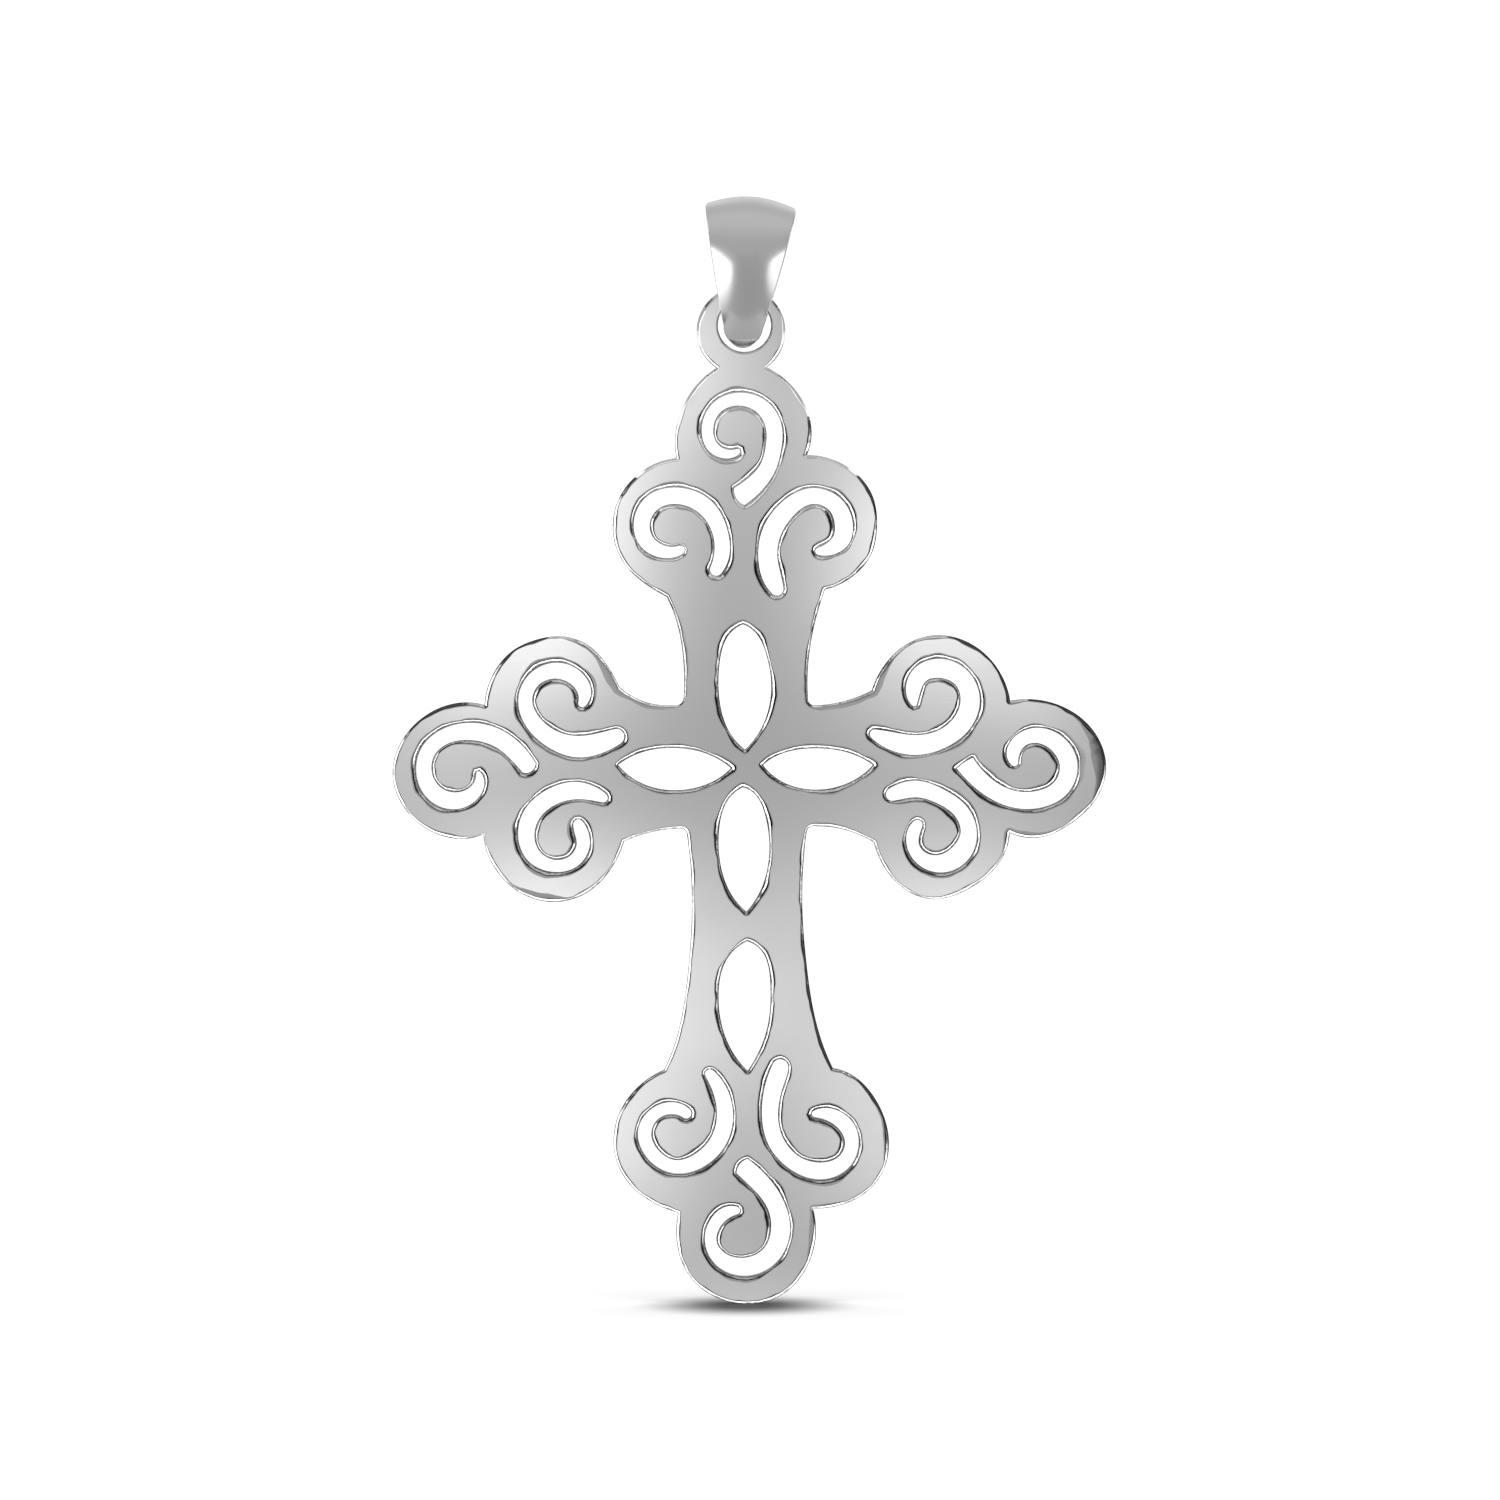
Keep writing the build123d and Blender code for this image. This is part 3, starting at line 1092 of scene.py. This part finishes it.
# ---------------------------------------------------------------------------------------------
# The bail
# ---------------------------------------------------------------------------------------------


def make_strip_tree() -> bpy.types.NodeTree:
    """Makes the tree that gives the folded strip its section and its taper.

    Returns:
        The Geometry Nodes tree.
    """
    tree, given, result = new_group(
        "folded_strip",
        "GeometryNodeTree",
        {
            "Geometry": (GEOMETRY, None),
            "Crown Width": (NUMBER, 4.6 * MM),
            "Tip Width": (NUMBER, 2.1 * MM),
            "Swell": (NUMBER, 0.05 * MM),
            "Crown Height": (NUMBER, 4.25 * MM),
            "Tip Height": (NUMBER, -1.5 * MM),
            "Tip Length": (NUMBER, 1.26 * MM),
            "Crown Bend": (NUMBER, 0.27 * MM),
            "Blade Bend": (NUMBER, 0.2 * MM),
            "Tip Bend": (NUMBER, 0.35),
            "Fold Low": (NUMBER, -2.4 * MM),
            "Fold High": (NUMBER, 1.0 * MM),
            "Corner Low": (NUMBER, 4.05 * MM),
            "Corner High": (NUMBER, 4.65 * MM),
            "Corner Width": (NUMBER, 0.91),
            "Place": (VECTOR, None),
            "Lean": (VECTOR, None),
            "Finish": (MATERIAL, None),
        },
        {"Geometry": GEOMETRY},
    )
    across, through = named(tree, "across"), named(tree, "through")
    inside, outside = named(tree, "inside", "FLOAT_VECTOR"), named(tree, "outside", "FLOAT_VECTOR")
    wall = tree.vector("SUBTRACT", outside, inside)

    # The strip narrows to a round tip, and its bend dies away there
    reach = tree.math("SUBTRACT", given["Tip Height"], tree.axes(outside)["Z"])
    below = tree.math("DIVIDE", reach, given["Tip Length"], clamp=True)
    squared = tree.math("MAXIMUM", tree.math("SUBTRACT", 1.0, tree.math("MULTIPLY", below, below)), 0.01)
    folded = tree.ramp(tree.axes(outside)["Z"], given["Fold Low"], given["Fold High"], given["Tip Bend"], 1.0)
    keep = tree.math("MULTIPLY", squared, folded)

    # The face is flatter and less bent where less of the bend is kept
    flattened = tree.math("MULTIPLY", tree.math("SUBTRACT", 1.0, through), tree.math("SUBTRACT", 1.0, keep))
    flattened = tree.math("MULTIPLY", flattened, tree.math("GREATER_THAN", through, 0.0))
    lifted = tree.math("MULTIPLY_ADD", tree.math("ADD", through, flattened), 0.5, 0.5)
    core = tree.vector("ADD", inside, tree.vector("SCALE", wall, lifted))
    height = tree.axes(core)["Z"]
    bend = tree.ramp(height, 0.0, given["Crown Height"], given["Blade Bend"], given["Crown Bend"])
    sunk = tree.math("MULTIPLY", tree.math("MULTIPLY", across, across), tree.math("MULTIPLY", bend, keep))
    bent = tree.vector("SUBTRACT", core, tree.vector("SCALE", tree.vector("NORMALIZE", wall), sunk))
    y, z = tree.axes(bent)["Y"], tree.axes(bent)["Z"]

    # The strip is widest at its crown, whose corners are rounded
    rise = tree.ramp(z, given["Tip Height"], given["Crown Height"], 0.0, 1.0, smooth=False)
    taper = tree.ramp(rise, 0.0, 1.0, given["Tip Width"], given["Crown Width"], smooth=False)
    swell = tree.math("MULTIPLY", tree.math("MULTIPLY", rise, tree.math("SUBTRACT", 1.0, rise)), 4.0)
    width = tree.math("MULTIPLY_ADD", swell, given["Swell"], tree.math("MULTIPLY", taper, 0.5))
    corner = tree.ramp(z, given["Corner Low"], given["Corner High"], 1.0, given["Corner Width"])
    width = tree.math("MULTIPLY", tree.math("MULTIPLY", width, corner), tree.math("SQRT", squared))
    shaped = tree.node("GeometryNodeSetPosition")
    tree.feed(shaped.inputs["Geometry"], given["Geometry"])
    tree.feed(shaped.inputs["Position"], tree.joined(tree.math("MULTIPLY", across, width), y, z))
    set_down = tree.node("GeometryNodeTransform")
    tree.feed(set_down.inputs["Geometry"], shaped.outputs[0])
    tree.feed(set_down.inputs["Translation"], given["Place"])
    turn = tree.node("FunctionNodeEulerToRotation")
    tree.feed(turn.inputs[0], given["Lean"])
    tree.feed(set_down.inputs["Rotation"], turn.outputs[0])
    finish_tree(tree, set_down.outputs[0], given["Finish"], result)
    return tree.tree


@dataclass
class Bail:
    """The folded strip that a chain runs through, drawn about the eyelet's top bar.

    Attributes:
        lean: how far it leans to the right, in degrees.
        off_centre: how far its middle lies right of the eyelet's bar, in metres.
        top: the height of its crown.
        bottom: the height of its folded tips.
        crown_radius: the radius of the crown's outside, seen from the side.
        fold_radius: the radius of the fold's outside, seen from the side.
        swing_radius: the room inside the fold for the eyelet's bar.
        thickness: the strip's thickness.
        seam: the gap between the tips, which the solder fills.
        face_round: how much thinner the strip is at its edges, as a share of its thickness.
        rim: the width of each rounded rim, as a share of half the strip's width.
        easing: how many times the profile is smoothed.
        swell: how far the blade swells between its bends.
        stations: the number of sections from tip to tip.
        face_points: the number of points across the strip's face.
        rim_points: the number of steps round each rim, and of points across its inside.
    """

    lean: float = 3.6
    off_centre: float = -0.03 * MM
    top: float = 4.84 * MM
    bottom: float = -2.76 * MM
    crown_radius: float = 2.4 * MM
    fold_radius: float = 1.35 * MM
    swing_radius: float = 1.4 * MM
    thickness: float = 0.55 * MM
    seam: float = 0.12 * MM
    face_round: float = 0.3
    rim: float = 0.008
    easing: int = 60
    swell: float = 0.16 * MM
    stations: int = 181
    face_points: int = 35
    rim_points: int = 9

    def profile(self, crown_radius: float, fold_radius: float, fold_height: float) -> np.ndarray:
        """Draws the strip's inside or its outside as seen from the side, from front tip to back tip.

        Args:
            crown_radius: the radius over the crown.
            fold_radius: the radius under the fold.
            fold_height: the height of the fold's centre.

        Returns:
            (y, z) at each station.
        """
        crown_height = self.top - self.crown_radius
        slope = math.asin((crown_radius - fold_radius) / (crown_height - fold_height))
        start = math.asin(min(1.0, self.seam / 2 / fold_radius))
        fold_steps, crown_steps = 40, 60
        fold = np.linspace(start, math.pi / 2 - slope, fold_steps)
        crown = np.linspace(-slope, math.pi / 2, crown_steps)
        half = np.vstack(
            [
                np.stack([fold_radius * np.sin(fold), fold_height - fold_radius * np.cos(fold)], axis=1),
                np.stack([crown_radius * np.cos(crown), crown_height + crown_radius * np.sin(crown)], axis=1),
            ]
        )
        travelled = way_along(half)
        even = places_at(np.linspace(0, travelled[-1], self.stations // 2 + 1), travelled, half)
        front = even * np.array([-1, 1])
        return np.vstack([front, even[::-1][1:]])

    def eased(self, profile: np.ndarray) -> np.ndarray:
        """Rounds the profile's flat blade and blends its bends, as a hammered strip is.

        Args:
            profile: (y, z) at each station.

        Returns:
            The eased profile, within the first one's depth and height.
        """
        low, high = self.bottom, self.top
        eased = profile.copy()
        for _ in range(self.easing):
            eased[1:-1] = (eased[:-2] + 2 * eased[1:-1] + eased[2:]) / 4
        lift = np.sin(np.clip((eased[:, 1] - low) / (high - low), 0, 1) * math.pi) ** 2
        eased[:, 0] += np.sign(eased[:, 0]) * self.swell * lift
        eased[:, 1] = low + (eased[:, 1] - eased[:, 1].min()) * (high - low) / np.ptp(eased[:, 1])
        deepest = np.abs(profile[:, 0]).max()
        eased[:, 0] *= min(1.0, deepest / np.abs(eased[:, 0]).max())
        return eased

    def section(self) -> tuple:
        """Draws the strip's section, round on the outside and flat within, anticlockwise.

        Returns:
            Where each point lies across the strip, from -1 to 1, and through it, from -1 inside to 1 outside.
        """
        flank = 1 - self.rim
        inner = flank - self.rim
        face = np.concatenate([[flank], np.linspace(inner, -inner, self.face_points), [-flank]])
        crowned = 1 - 2 * self.face_round * face**2
        edge = 1 - 2 * self.face_round * flank**2
        turn = np.linspace(0, math.pi, self.rim_points)[1:-1]
        rim_across = flank + self.rim * np.sin(turn)
        rim_through = -1 + (edge + 1) * (1 - np.cos(turn)) / 2
        within = np.linspace(-flank, flank, self.rim_points)
        across = np.concatenate([face, -rim_across, within, rim_across])
        through = np.concatenate([crowned, rim_through[::-1], -np.ones(len(within)), rim_through])
        return across, through

    def build(self, finish: bpy.types.Material) -> bpy.types.Object:
        """Builds the bail.

        Args:
            finish: its material.

        Returns:
            The bail's object.
        """
        fold_height = self.bottom + self.fold_radius
        outside = self.eased(self.profile(self.crown_radius, self.fold_radius, fold_height))
        inside = self.profile(self.crown_radius - self.thickness, self.swing_radius, 0.0)
        across, through = self.section()
        count, around = len(outside), len(across)
        laid_out = np.repeat(np.arange(count), around) * 0.1
        blank = np.stack([np.tile(across, count), laid_out, np.tile(through, count)], axis=1) * MM
        faces = []
        for low in range(0, (count - 1) * around, around):
            for index in range(around):
                onward = (index + 1) % around
                faces.append((low + index, low + around + index, low + around + onward, low + onward))
        faces.append(tuple(range(around)))
        faces.append(tuple(reversed(range((count - 1) * around, count * around))))
        piece = new_mesh_object("bail_blank", blank, faces)
        for face in piece.data.polygons:
            face.use_smooth = len(face.vertices) == 4
        for name, values in (
            ("across", np.tile(across, count)),
            ("through", np.tile(through, count)),
            ("outside", np.repeat(np.insert(outside, 0, 0.0, axis=1), around, axis=0)),
            ("inside", np.repeat(np.insert(inside, 0, 0.0, axis=1), around, axis=0)),
            ("polish", np.tile(np.clip(0.5 + through, 0, 1), count)),
        ):
            put_attribute(piece.data, name, values)
        made = shape_with(
            piece,
            make_strip_tree(),
            {
                "Place": swing_centre() + Vector((self.off_centre, 0, 0)),
                "Lean": (0, math.radians(self.lean), 0),
                "Finish": finish,
            },
            "folded_bail",
        )
        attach(made, "bail")
        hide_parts("bail_strip")
        return made


@dataclass
class SolderSeam:
    """The hard solder between the bail's tips, which keeps its CAD shape."""

    node: str = "bail_solder"

    def dress(self, finish: bpy.types.Material) -> bpy.types.Object:
        """Gives the seam its material.

        Args:
            finish: its material.

        Returns:
            The seam's object.
        """
        seam = frame["nodes"][self.node]
        if not seam.material_slots:
            seam.data.materials.append(finish)
        for place in seam.material_slots:
            place.material = finish
        return seam


# ---------------------------------------------------------------------------------------------
# The studio
# ---------------------------------------------------------------------------------------------


def strip_faces(count: int) -> list:
    """Returns the faces of a strip whose corners come in pairs, as corner numbers."""
    return [(2 * i, 2 * i + 1, 2 * i + 3, 2 * i + 2) for i in range(count - 1)]


@dataclass(frozen=True)
class Glow:
    """A soft bright area on a reflection card, placed by where the plate shows it.

    Attributes:
        x: to the right of the crossing, in millimetres.
        z: above the crossing, in millimetres.
        wide: its half width, in millimetres.
        tall: its half height, in millimetres.
        light: how much it adds.
    """

    x: float
    z: float
    wide: float
    tall: float
    light: float


@dataclass(frozen=True)
class SideCard:
    """A flat card beside the bail that only reflections see.

    Attributes:
        name: its name.
        corners: its corners (x, y, z) about the eyelet's bar, in millimetres.
        light: its light.
        foot: its light at its lower edge.
        foot_heights: where the foot's light ends and its own begins, about the bar, in millimetres.
    """

    name: str
    corners: tuple
    light: float
    foot: float
    foot_heights: ClassVar[tuple] = (-3.2, -0.6)

    @classmethod
    def cheek(cls, name: str, x: float) -> "SideCard":
        """Stands a card along the side of the bail, at x."""
        return cls(name, ((x, -6, -4.6), (x, 9, -4.6), (x, 9, 5), (x, -6, 5)), 0.42, 1.1)

    @classmethod
    def backing(cls, name: str, x: float, out: float) -> "SideCard":
        """Stands a card before the bail, behind its wing, from x out to one side."""
        return cls(name, ((x, -11, -4.8), (out, -11, -4.8), (out, -11, 3), (x, -11, 3)), 0.36, 0.33)


@dataclass
class Studio:
    """The floor, the light and the camera.

    Attributes:
        lens: the camera's focal length, in millimetres.
        sensor: its sensor's width, in millimetres.
        distance: how far it stands before the pendant.
        aim_right: how far right of the crossing it looks.
        aim_up: how far above the crossing it looks.
        tent_light: how bright the tent is for all but reflections.
        screened: how bright its screened side is in reflections.
        open: how bright its open side is in reflections.
        open_below: how much a direction's fall opens the tent.
        open_left: how much its way to the left does.
        open_right: how much its way to the right does.
        opening: how open the tent is where its light starts, and where it is full.
        near_band: where the black band before the pendant starts, is full, fades and ends, along Y.
        far_band: the same for the band behind it.
        card_distance: how far the large cards stand from the pendant.
        card_width: their width.
        card_height: their height.
        card_base: their light between the glows.
        card_slant: their light where they are seen at a slant.
        hood_radius: the radius that the hood is bent to.
        hood_width: its width.
        hood_rise: how far its axis lies above the eyelet's bar.
        hood_start: the angle of its front edge above the level, in degrees.
        hood_step: the angle between its bends, in degrees.
        hood_bends: the number of its bends.
        hood_light: its light at its front edge.
        hood_changes: where each change in its light starts and ends over its half turn, and the change.
        cup_radius: the radius of the small card round the fold.
        cup_drop: how far its axis lies below the eyelet's bar.
        cup_reach: where it starts and ends, before the pendant.
        cup_light: its light at its lowest and near its ends.
        side_cards: the flat cards beside the bail.
        glows: the soft bright areas on the large cards.
        floor_reach: how far the floor runs each way.
        shade_wide: the half width of the shadow painted into the floor's colour round the foot.
        shade_deep: its half depth.
        shade_forward: how far its middle lies before the pendant.
        shade_dark: the floor's colour in the middle of the painted shadow.
        floor_light: the floor's lightness outside it.
    """

    lens: float = 192.0
    sensor: float = 36.0
    distance: float = 0.4006
    aim_right: float = 0.2 * MM
    aim_up: float = 0.95 * MM
    tent_light: float = 1.15
    screened: float = 0.06
    open: float = 1.9
    open_below: float = 0.75
    open_left: float = 0.9
    open_right: float = 0.3
    opening: tuple = (0.25, 0.5)
    near_band: tuple = (-0.9, -0.86, -0.42, -0.28)
    far_band: tuple = (0.12, 0.28, 0.8, 0.9)
    card_distance: float = 60 * MM
    card_width: float = 68 * MM
    card_height: float = 120 * MM
    card_base: float = 0.385
    card_slant: float = 0.31
    hood_radius: float = 12 * MM
    hood_width: float = 30 * MM
    hood_rise: float = 2.4 * MM
    hood_start: float = -9
    hood_step: float = 4
    hood_bends: int = 51
    hood_light: float = 0.36
    hood_changes: tuple = ((0.0, 0.33, 0.11), (0.36, 0.48, -0.05), (0.5, 0.75, 0.22))
    cup_radius: float = 1.3 * MM
    cup_drop: float = 1.59 * MM
    cup_reach: tuple = (0.66 * MM, 3.0 * MM)
    cup_light: tuple = (0.38, 0.46)
    side_cards: tuple = (
        SideCard(
            "left_wing",
            ((-2.7, -6, -0.4), (-2.9, -6, -4.6), (-9.5, -6, -4.6), (-9.5, -6, 1.6), (-5.8, -6, 1.0)),
            1.9,
            0.8,
        ),
        SideCard(
            "right_wing",
            ((3.8, -6, -0.5), (6.5, -6, 0.7), (9.5, -6, 1.2), (9.5, -6, -4.6), (3.6, -6, -4.6)),
            1.6,
            0.8,
        ),
        SideCard.cheek("left_cheek", -9.6),
        SideCard.cheek("right_cheek", 9.6),
        SideCard.backing("left_backing", -2.9, -15),
        SideCard.backing("right_backing", 2.9, 15),
    )
    glows: tuple = (
        Glow(-12, 7.2, 6, 5, 0.70),
        Glow(11, 7.2, 6, 5, 0.44),
        Glow(-10.5, -7.5, 6, 4.5, 0.62),
        Glow(10.5, -7.5, 6, 4.5, 0.46),
        Glow(-8, 14, 3.9, 6, 0.63),
        Glow(8.5, 12.5, 4.7, 6, 0.57),
        Glow(-7, -17.5, 4.8, 6.8, 0.56),
        Glow(7.5, -17, 5, 6.5, 0.42),
        Glow(-1, -11.5, 5, 4.5, 0.30),
        Glow(-3.6, 20.5, 4.2, 5, 0.52),
        Glow(-17, 0, 4, 4, 0.14),
        Glow(17.5, 1.5, 3, 3, 0.07),
        Glow(0, -5.5, 9, 3, 0.06),
        Glow(0, -27.5, 4, 2.4, 0.26),
        Glow(3.2, 18, 1.8, 2.2, 0.15),
        Glow(-14.5, 3.4, 2.2, 1.9, 0.13),
        Glow(14.5, 3.4, 2.2, 1.9, 0.14),
    )
    floor_reach: float = 4.0
    shade_wide: float = 6.2 * MM
    shade_deep: float = 9 * MM
    shade_forward: float = 1.6 * MM
    shade_dark: float = 0.14
    floor_light: float = 0.97

    def aim(self) -> Vector:
        """Returns the point that the camera looks at."""
        return crossing() + Vector((self.aim_right, 0, self.aim_up))

    def camera(self) -> None:
        """Makes the camera, level and square to the front."""
        made = bpy.data.cameras.new("camera")
        made.lens, made.sensor_width = self.lens, self.sensor
        made.clip_start, made.clip_end = 0.01, 20.0
        camera = bpy.data.objects.new("camera", made)
        camera.location = self.aim() + Vector((0, -self.distance, 0))
        camera.rotation_euler = (math.pi / 2, 0, 0)
        bpy.context.scene.collection.objects.link(camera)
        bpy.context.scene.camera = camera

    def world(self) -> None:
        """Lights the scene as a white tent, partly screened in reflections."""
        world = bpy.data.worlds.new("tent")
        bpy.context.scene.world = world
        world.use_nodes = True
        tree = Tree(world.node_tree)
        shell = world.node_tree.nodes["Background"]
        direction = tree.axes(tree.node("ShaderNodeTexCoord").outputs["Generated"])
        x, y, z = (direction[axis] for axis in "XYZ")

        # The tent is open below and at the left, and screened above and at the right
        left = tree.math("MAXIMUM", tree.math("MULTIPLY", x, -1.0), 0.0)
        sideways = tree.math("MULTIPLY", tree.math("MAXIMUM", x, 0.0), self.open_right)
        sideways = tree.math("ADD", tree.math("MULTIPLY", left, self.open_left), sideways)
        lit = tree.ramp(tree.math("MULTIPLY_ADD", z, -self.open_below, sideways), *self.opening)
        side = tree.ramp(lit, 0.0, 1.0, self.screened, self.open, smooth=False)

        # Two black bands, before and behind the pendant, draw the dark lines along its edges
        bands = [
            tree.math("MULTIPLY", tree.ramp(y, start, full), tree.ramp(y, end, fading))
            for start, full, fading, end in (self.near_band, self.far_band)
        ]
        shine = tree.ramp(tree.math("ADD", *bands, clamp=True), 0.0, 1.0, side, 0.0, smooth=False)
        glossy = tree.node("ShaderNodeLightPath").outputs["Is Glossy Ray"]
        tree.feed(shell.inputs["Strength"], tree.ramp(glossy, 0.0, 1.0, self.tent_light, shine, smooth=False))
        shell.inputs["Color"].default_value = (1, 1, 1, 1)

    def reflector(
        self, name: str, corners: Sequence, faces: Sequence, light_at: Callable
    ) -> bpy.types.Object:
        """Makes a glowing card that only reflections see.

        Args:
            name: its name.
            corners: its corners in the frame.
            faces: its faces, as corner numbers.
            light_at: works out its light from its tree and the X, Y and Z outputs of the place on it.

        Returns:
            The card.
        """
        made = new_mesh_object(name, np.array(corners), faces)
        material = bpy.data.materials.new(name)
        material.use_nodes = True
        material.node_tree.nodes.clear()
        tree = Tree(material.node_tree)
        place = tree.axes(tree.node("ShaderNodeTexCoord").outputs["Object"])
        light = tree.node("ShaderNodeEmission")
        tree.feed(light.inputs["Strength"], light_at(tree, place))
        out = tree.node("ShaderNodeOutputMaterial")
        tree.feed(out.inputs["Surface"], light.outputs[0])
        made.data.materials.append(material)
        made.visible_camera = made.visible_shadow = made.visible_diffuse = made.visible_transmission = False
        return made

    def card(self, name: str, side: float) -> bpy.types.Object:
        """Makes the large card that the plate's face reflects, bright in soft areas.

        Args:
            name: its name.
            side: -1 before the pendant, 1 behind it.

        Returns:
            The card.
        """
        middle = crossing()
        spread = 1 + self.card_distance / self.distance
        half_wide, half_tall = self.card_width / 2, self.card_height / 2
        centre = self.aim() + Vector((0, side * self.card_distance, 0))
        corners = [
            (centre.x + dx * half_wide, centre.y, centre.z + dz * half_tall)
            for dx, dz in ((-1, -1), (1, -1), (1, 1), (-1, 1))
        ]

        def light_at(tree: Tree, place: bpy.types.NodeOutputs) -> bpy.types.NodeSocket:
            """Works out the card's light at a place on it."""
            total = self.card_base
            for glow in self.glows:
                x = centre.x + (middle.x + glow.x * MM - centre.x) * spread
                z = centre.z + (middle.z + glow.z * MM - centre.z) * spread
                right = tree.math("DIVIDE", tree.math("SUBTRACT", place["X"], x), glow.wide * MM * spread)
                up = tree.math("DIVIDE", tree.math("SUBTRACT", place["Z"], z), glow.tall * MM * spread)
                away = tree.math("ADD", tree.math("MULTIPLY", right, right), tree.math("MULTIPLY", up, up))
                fading = tree.math("EXPONENT", tree.math("MULTIPLY", away, -1.0))
                total = tree.math("MULTIPLY_ADD", fading, glow.light, total)
            slant = tree.ramp(tree.node("ShaderNodeLayerWeight").outputs["Facing"], 0.004, 0.028)
            return tree.ramp(slant, 0.0, 1.0, total, self.card_slant, smooth=False)

        return self.reflector(name, corners, [(0, 1, 2, 3)], light_at)

    def hood(self) -> bpy.types.Object:
        """Makes the curved grey card that is bent over the bail.

        Returns:
            The card.
        """
        middle = swing_centre() + Vector((0, 0, self.hood_rise))
        corners = []
        for step in range(self.hood_bends):
            angle = math.radians(self.hood_start + self.hood_step * step)
            y, z = -self.hood_radius * math.cos(angle), middle.z + self.hood_radius * math.sin(angle)
            corners.extend((middle.x + side * self.hood_width / 2, y, z) for side in (-1, 1))

        def light_at(tree: Tree, place: bpy.types.NodeOutputs) -> bpy.types.NodeSocket:
            """Works out the card's light at a place on it."""
            up = tree.math("SUBTRACT", place["Z"], middle.z)
            ahead = tree.math("MULTIPLY", place["Y"], -1.0)
            climb = tree.math("DIVIDE", tree.math("ARCTAN2", up, ahead), math.pi)
            level = self.hood_light
            for start, end, change in self.hood_changes:
                level = tree.math("ADD", level, tree.ramp(climb, start, end, 0.0, change))
            return level

        return self.reflector("hood_card", corners, strip_faces(self.hood_bends), light_at)

    def side_card(self, card: SideCard) -> bpy.types.Object:
        """Makes a card beside the bail.

        Args:
            card: its place and its light.

        Returns:
            The card.
        """
        places = [tuple(swing_centre() + Vector(corner) * MM) for corner in card.corners]

        def light_at(tree: Tree, place: bpy.types.NodeOutputs) -> bpy.types.NodeSocket:
            """Works out the card's light at a place on it."""
            height = tree.math("SUBTRACT", place["Z"], swing_centre().z)
            low, high = (foot_height * MM for foot_height in card.foot_heights)
            return tree.ramp(height, low, high, card.foot, card.light)

        return self.reflector(card.name, places, [tuple(range(len(places)))], light_at)

    def cup(self) -> bpy.types.Object:
        """Makes the small curved card round the fold, edge-on to the camera within the eyelet's hole.

        Returns:
            The card.
        """
        hole = swing_centre() - Vector((0, 0, self.cup_drop))
        corners = []
        angles = [math.radians(-162 + 9 * step) for step in range(17)]
        for a in angles:
            rim = hole + Vector((math.cos(a), 0, math.sin(a))) * self.cup_radius - self.aim()
            for depth in self.cup_reach:
                corners.append(tuple(self.aim() + rim * (1 + depth / self.distance) + Vector((0, -depth, 0))))

        def light_at(tree: Tree, place: bpy.types.NodeOutputs) -> bpy.types.NodeSocket:
            """Works out the card's light at a place on it."""
            height = tree.math("SUBTRACT", place["Z"], hole.z)
            return tree.ramp(height, -self.cup_radius, -0.3 * self.cup_radius, *self.cup_light)

        return self.reflector("cup_card", corners, strip_faces(len(angles)), light_at)

    def floor(self) -> bpy.types.Object:
        """Makes the white floor under the cross, with a soft shadow painted into its colour round the foot.

        Returns:
            The floor.
        """
        reach, height = self.floor_reach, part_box("cross_plate")[0][2]
        corners = [(x * reach, y * reach, height) for x, y in ((-1, -1), (1, -1), (1, 1), (-1, 1))]
        made = new_mesh_object("floor", np.array(corners), [(0, 1, 2, 3)])
        material = bpy.data.materials.new("white_floor")
        material.use_nodes = True
        shader = material.node_tree.nodes["Principled BSDF"]
        tree = Tree(material.node_tree)
        place = tree.axes(tree.node("ShaderNodeTexCoord").outputs["Object"])
        # A soft contact shadow is painted into the floor's colour: darkest just before the foot, fading out
        # to the floor's white
        across = tree.math("DIVIDE", tree.math("SUBTRACT", place["X"], crossing().x), self.shade_wide)
        along = tree.math("DIVIDE", tree.math("ADD", place["Y"], self.shade_forward), self.shade_deep)
        away = tree.math("ADD", tree.math("MULTIPLY", across, across), tree.math("MULTIPLY", along, along))
        shade = tree.ramp(tree.math("SQRT", away), 0.15, 1.0, self.shade_dark, self.floor_light)
        tree.feed(shader.inputs["Base Color"], tree.mix(shade, (0, 0, 0, 1), (1, 1, 1, 1)))
        shader.inputs["Roughness"].default_value = 1.0
        shader.inputs["Specular IOR Level"].default_value = 0.0
        made.data.materials.append(material)
        made.visible_glossy = False
        return made

    def build(self) -> None:
        """Sets the view and builds the camera, the tent, the cards and the floor."""
        scene = bpy.context.scene
        scene.view_settings.view_transform = "Standard"
        scene.view_settings.look = "None"
        self.camera()
        self.world()
        self.card("front_card", -1)
        self.card("back_card", 1)
        self.hood()
        self.cup()
        for card in self.side_cards:
            self.side_card(card)
        self.floor()


def main() -> None:
    """Builds the studio and the pendant's pieces in order."""
    logging.basicConfig(level=logging.INFO, format="%(name)s: %(message)s")
    groups = Groups()
    Studio().build()
    for made in (
        Plate().build(Finish.PLATE.value.make(groups)),
        Bail().build(Finish.BAIL.value.make(groups)),
        SolderSeam().dress(Finish.SOLDER.value.make(groups)),
    ):
        LOG.info("%s: %d vertices, %d faces", made.name, len(made.data.vertices), len(made.data.polygons))


if __name__ == "__main__":
    main()
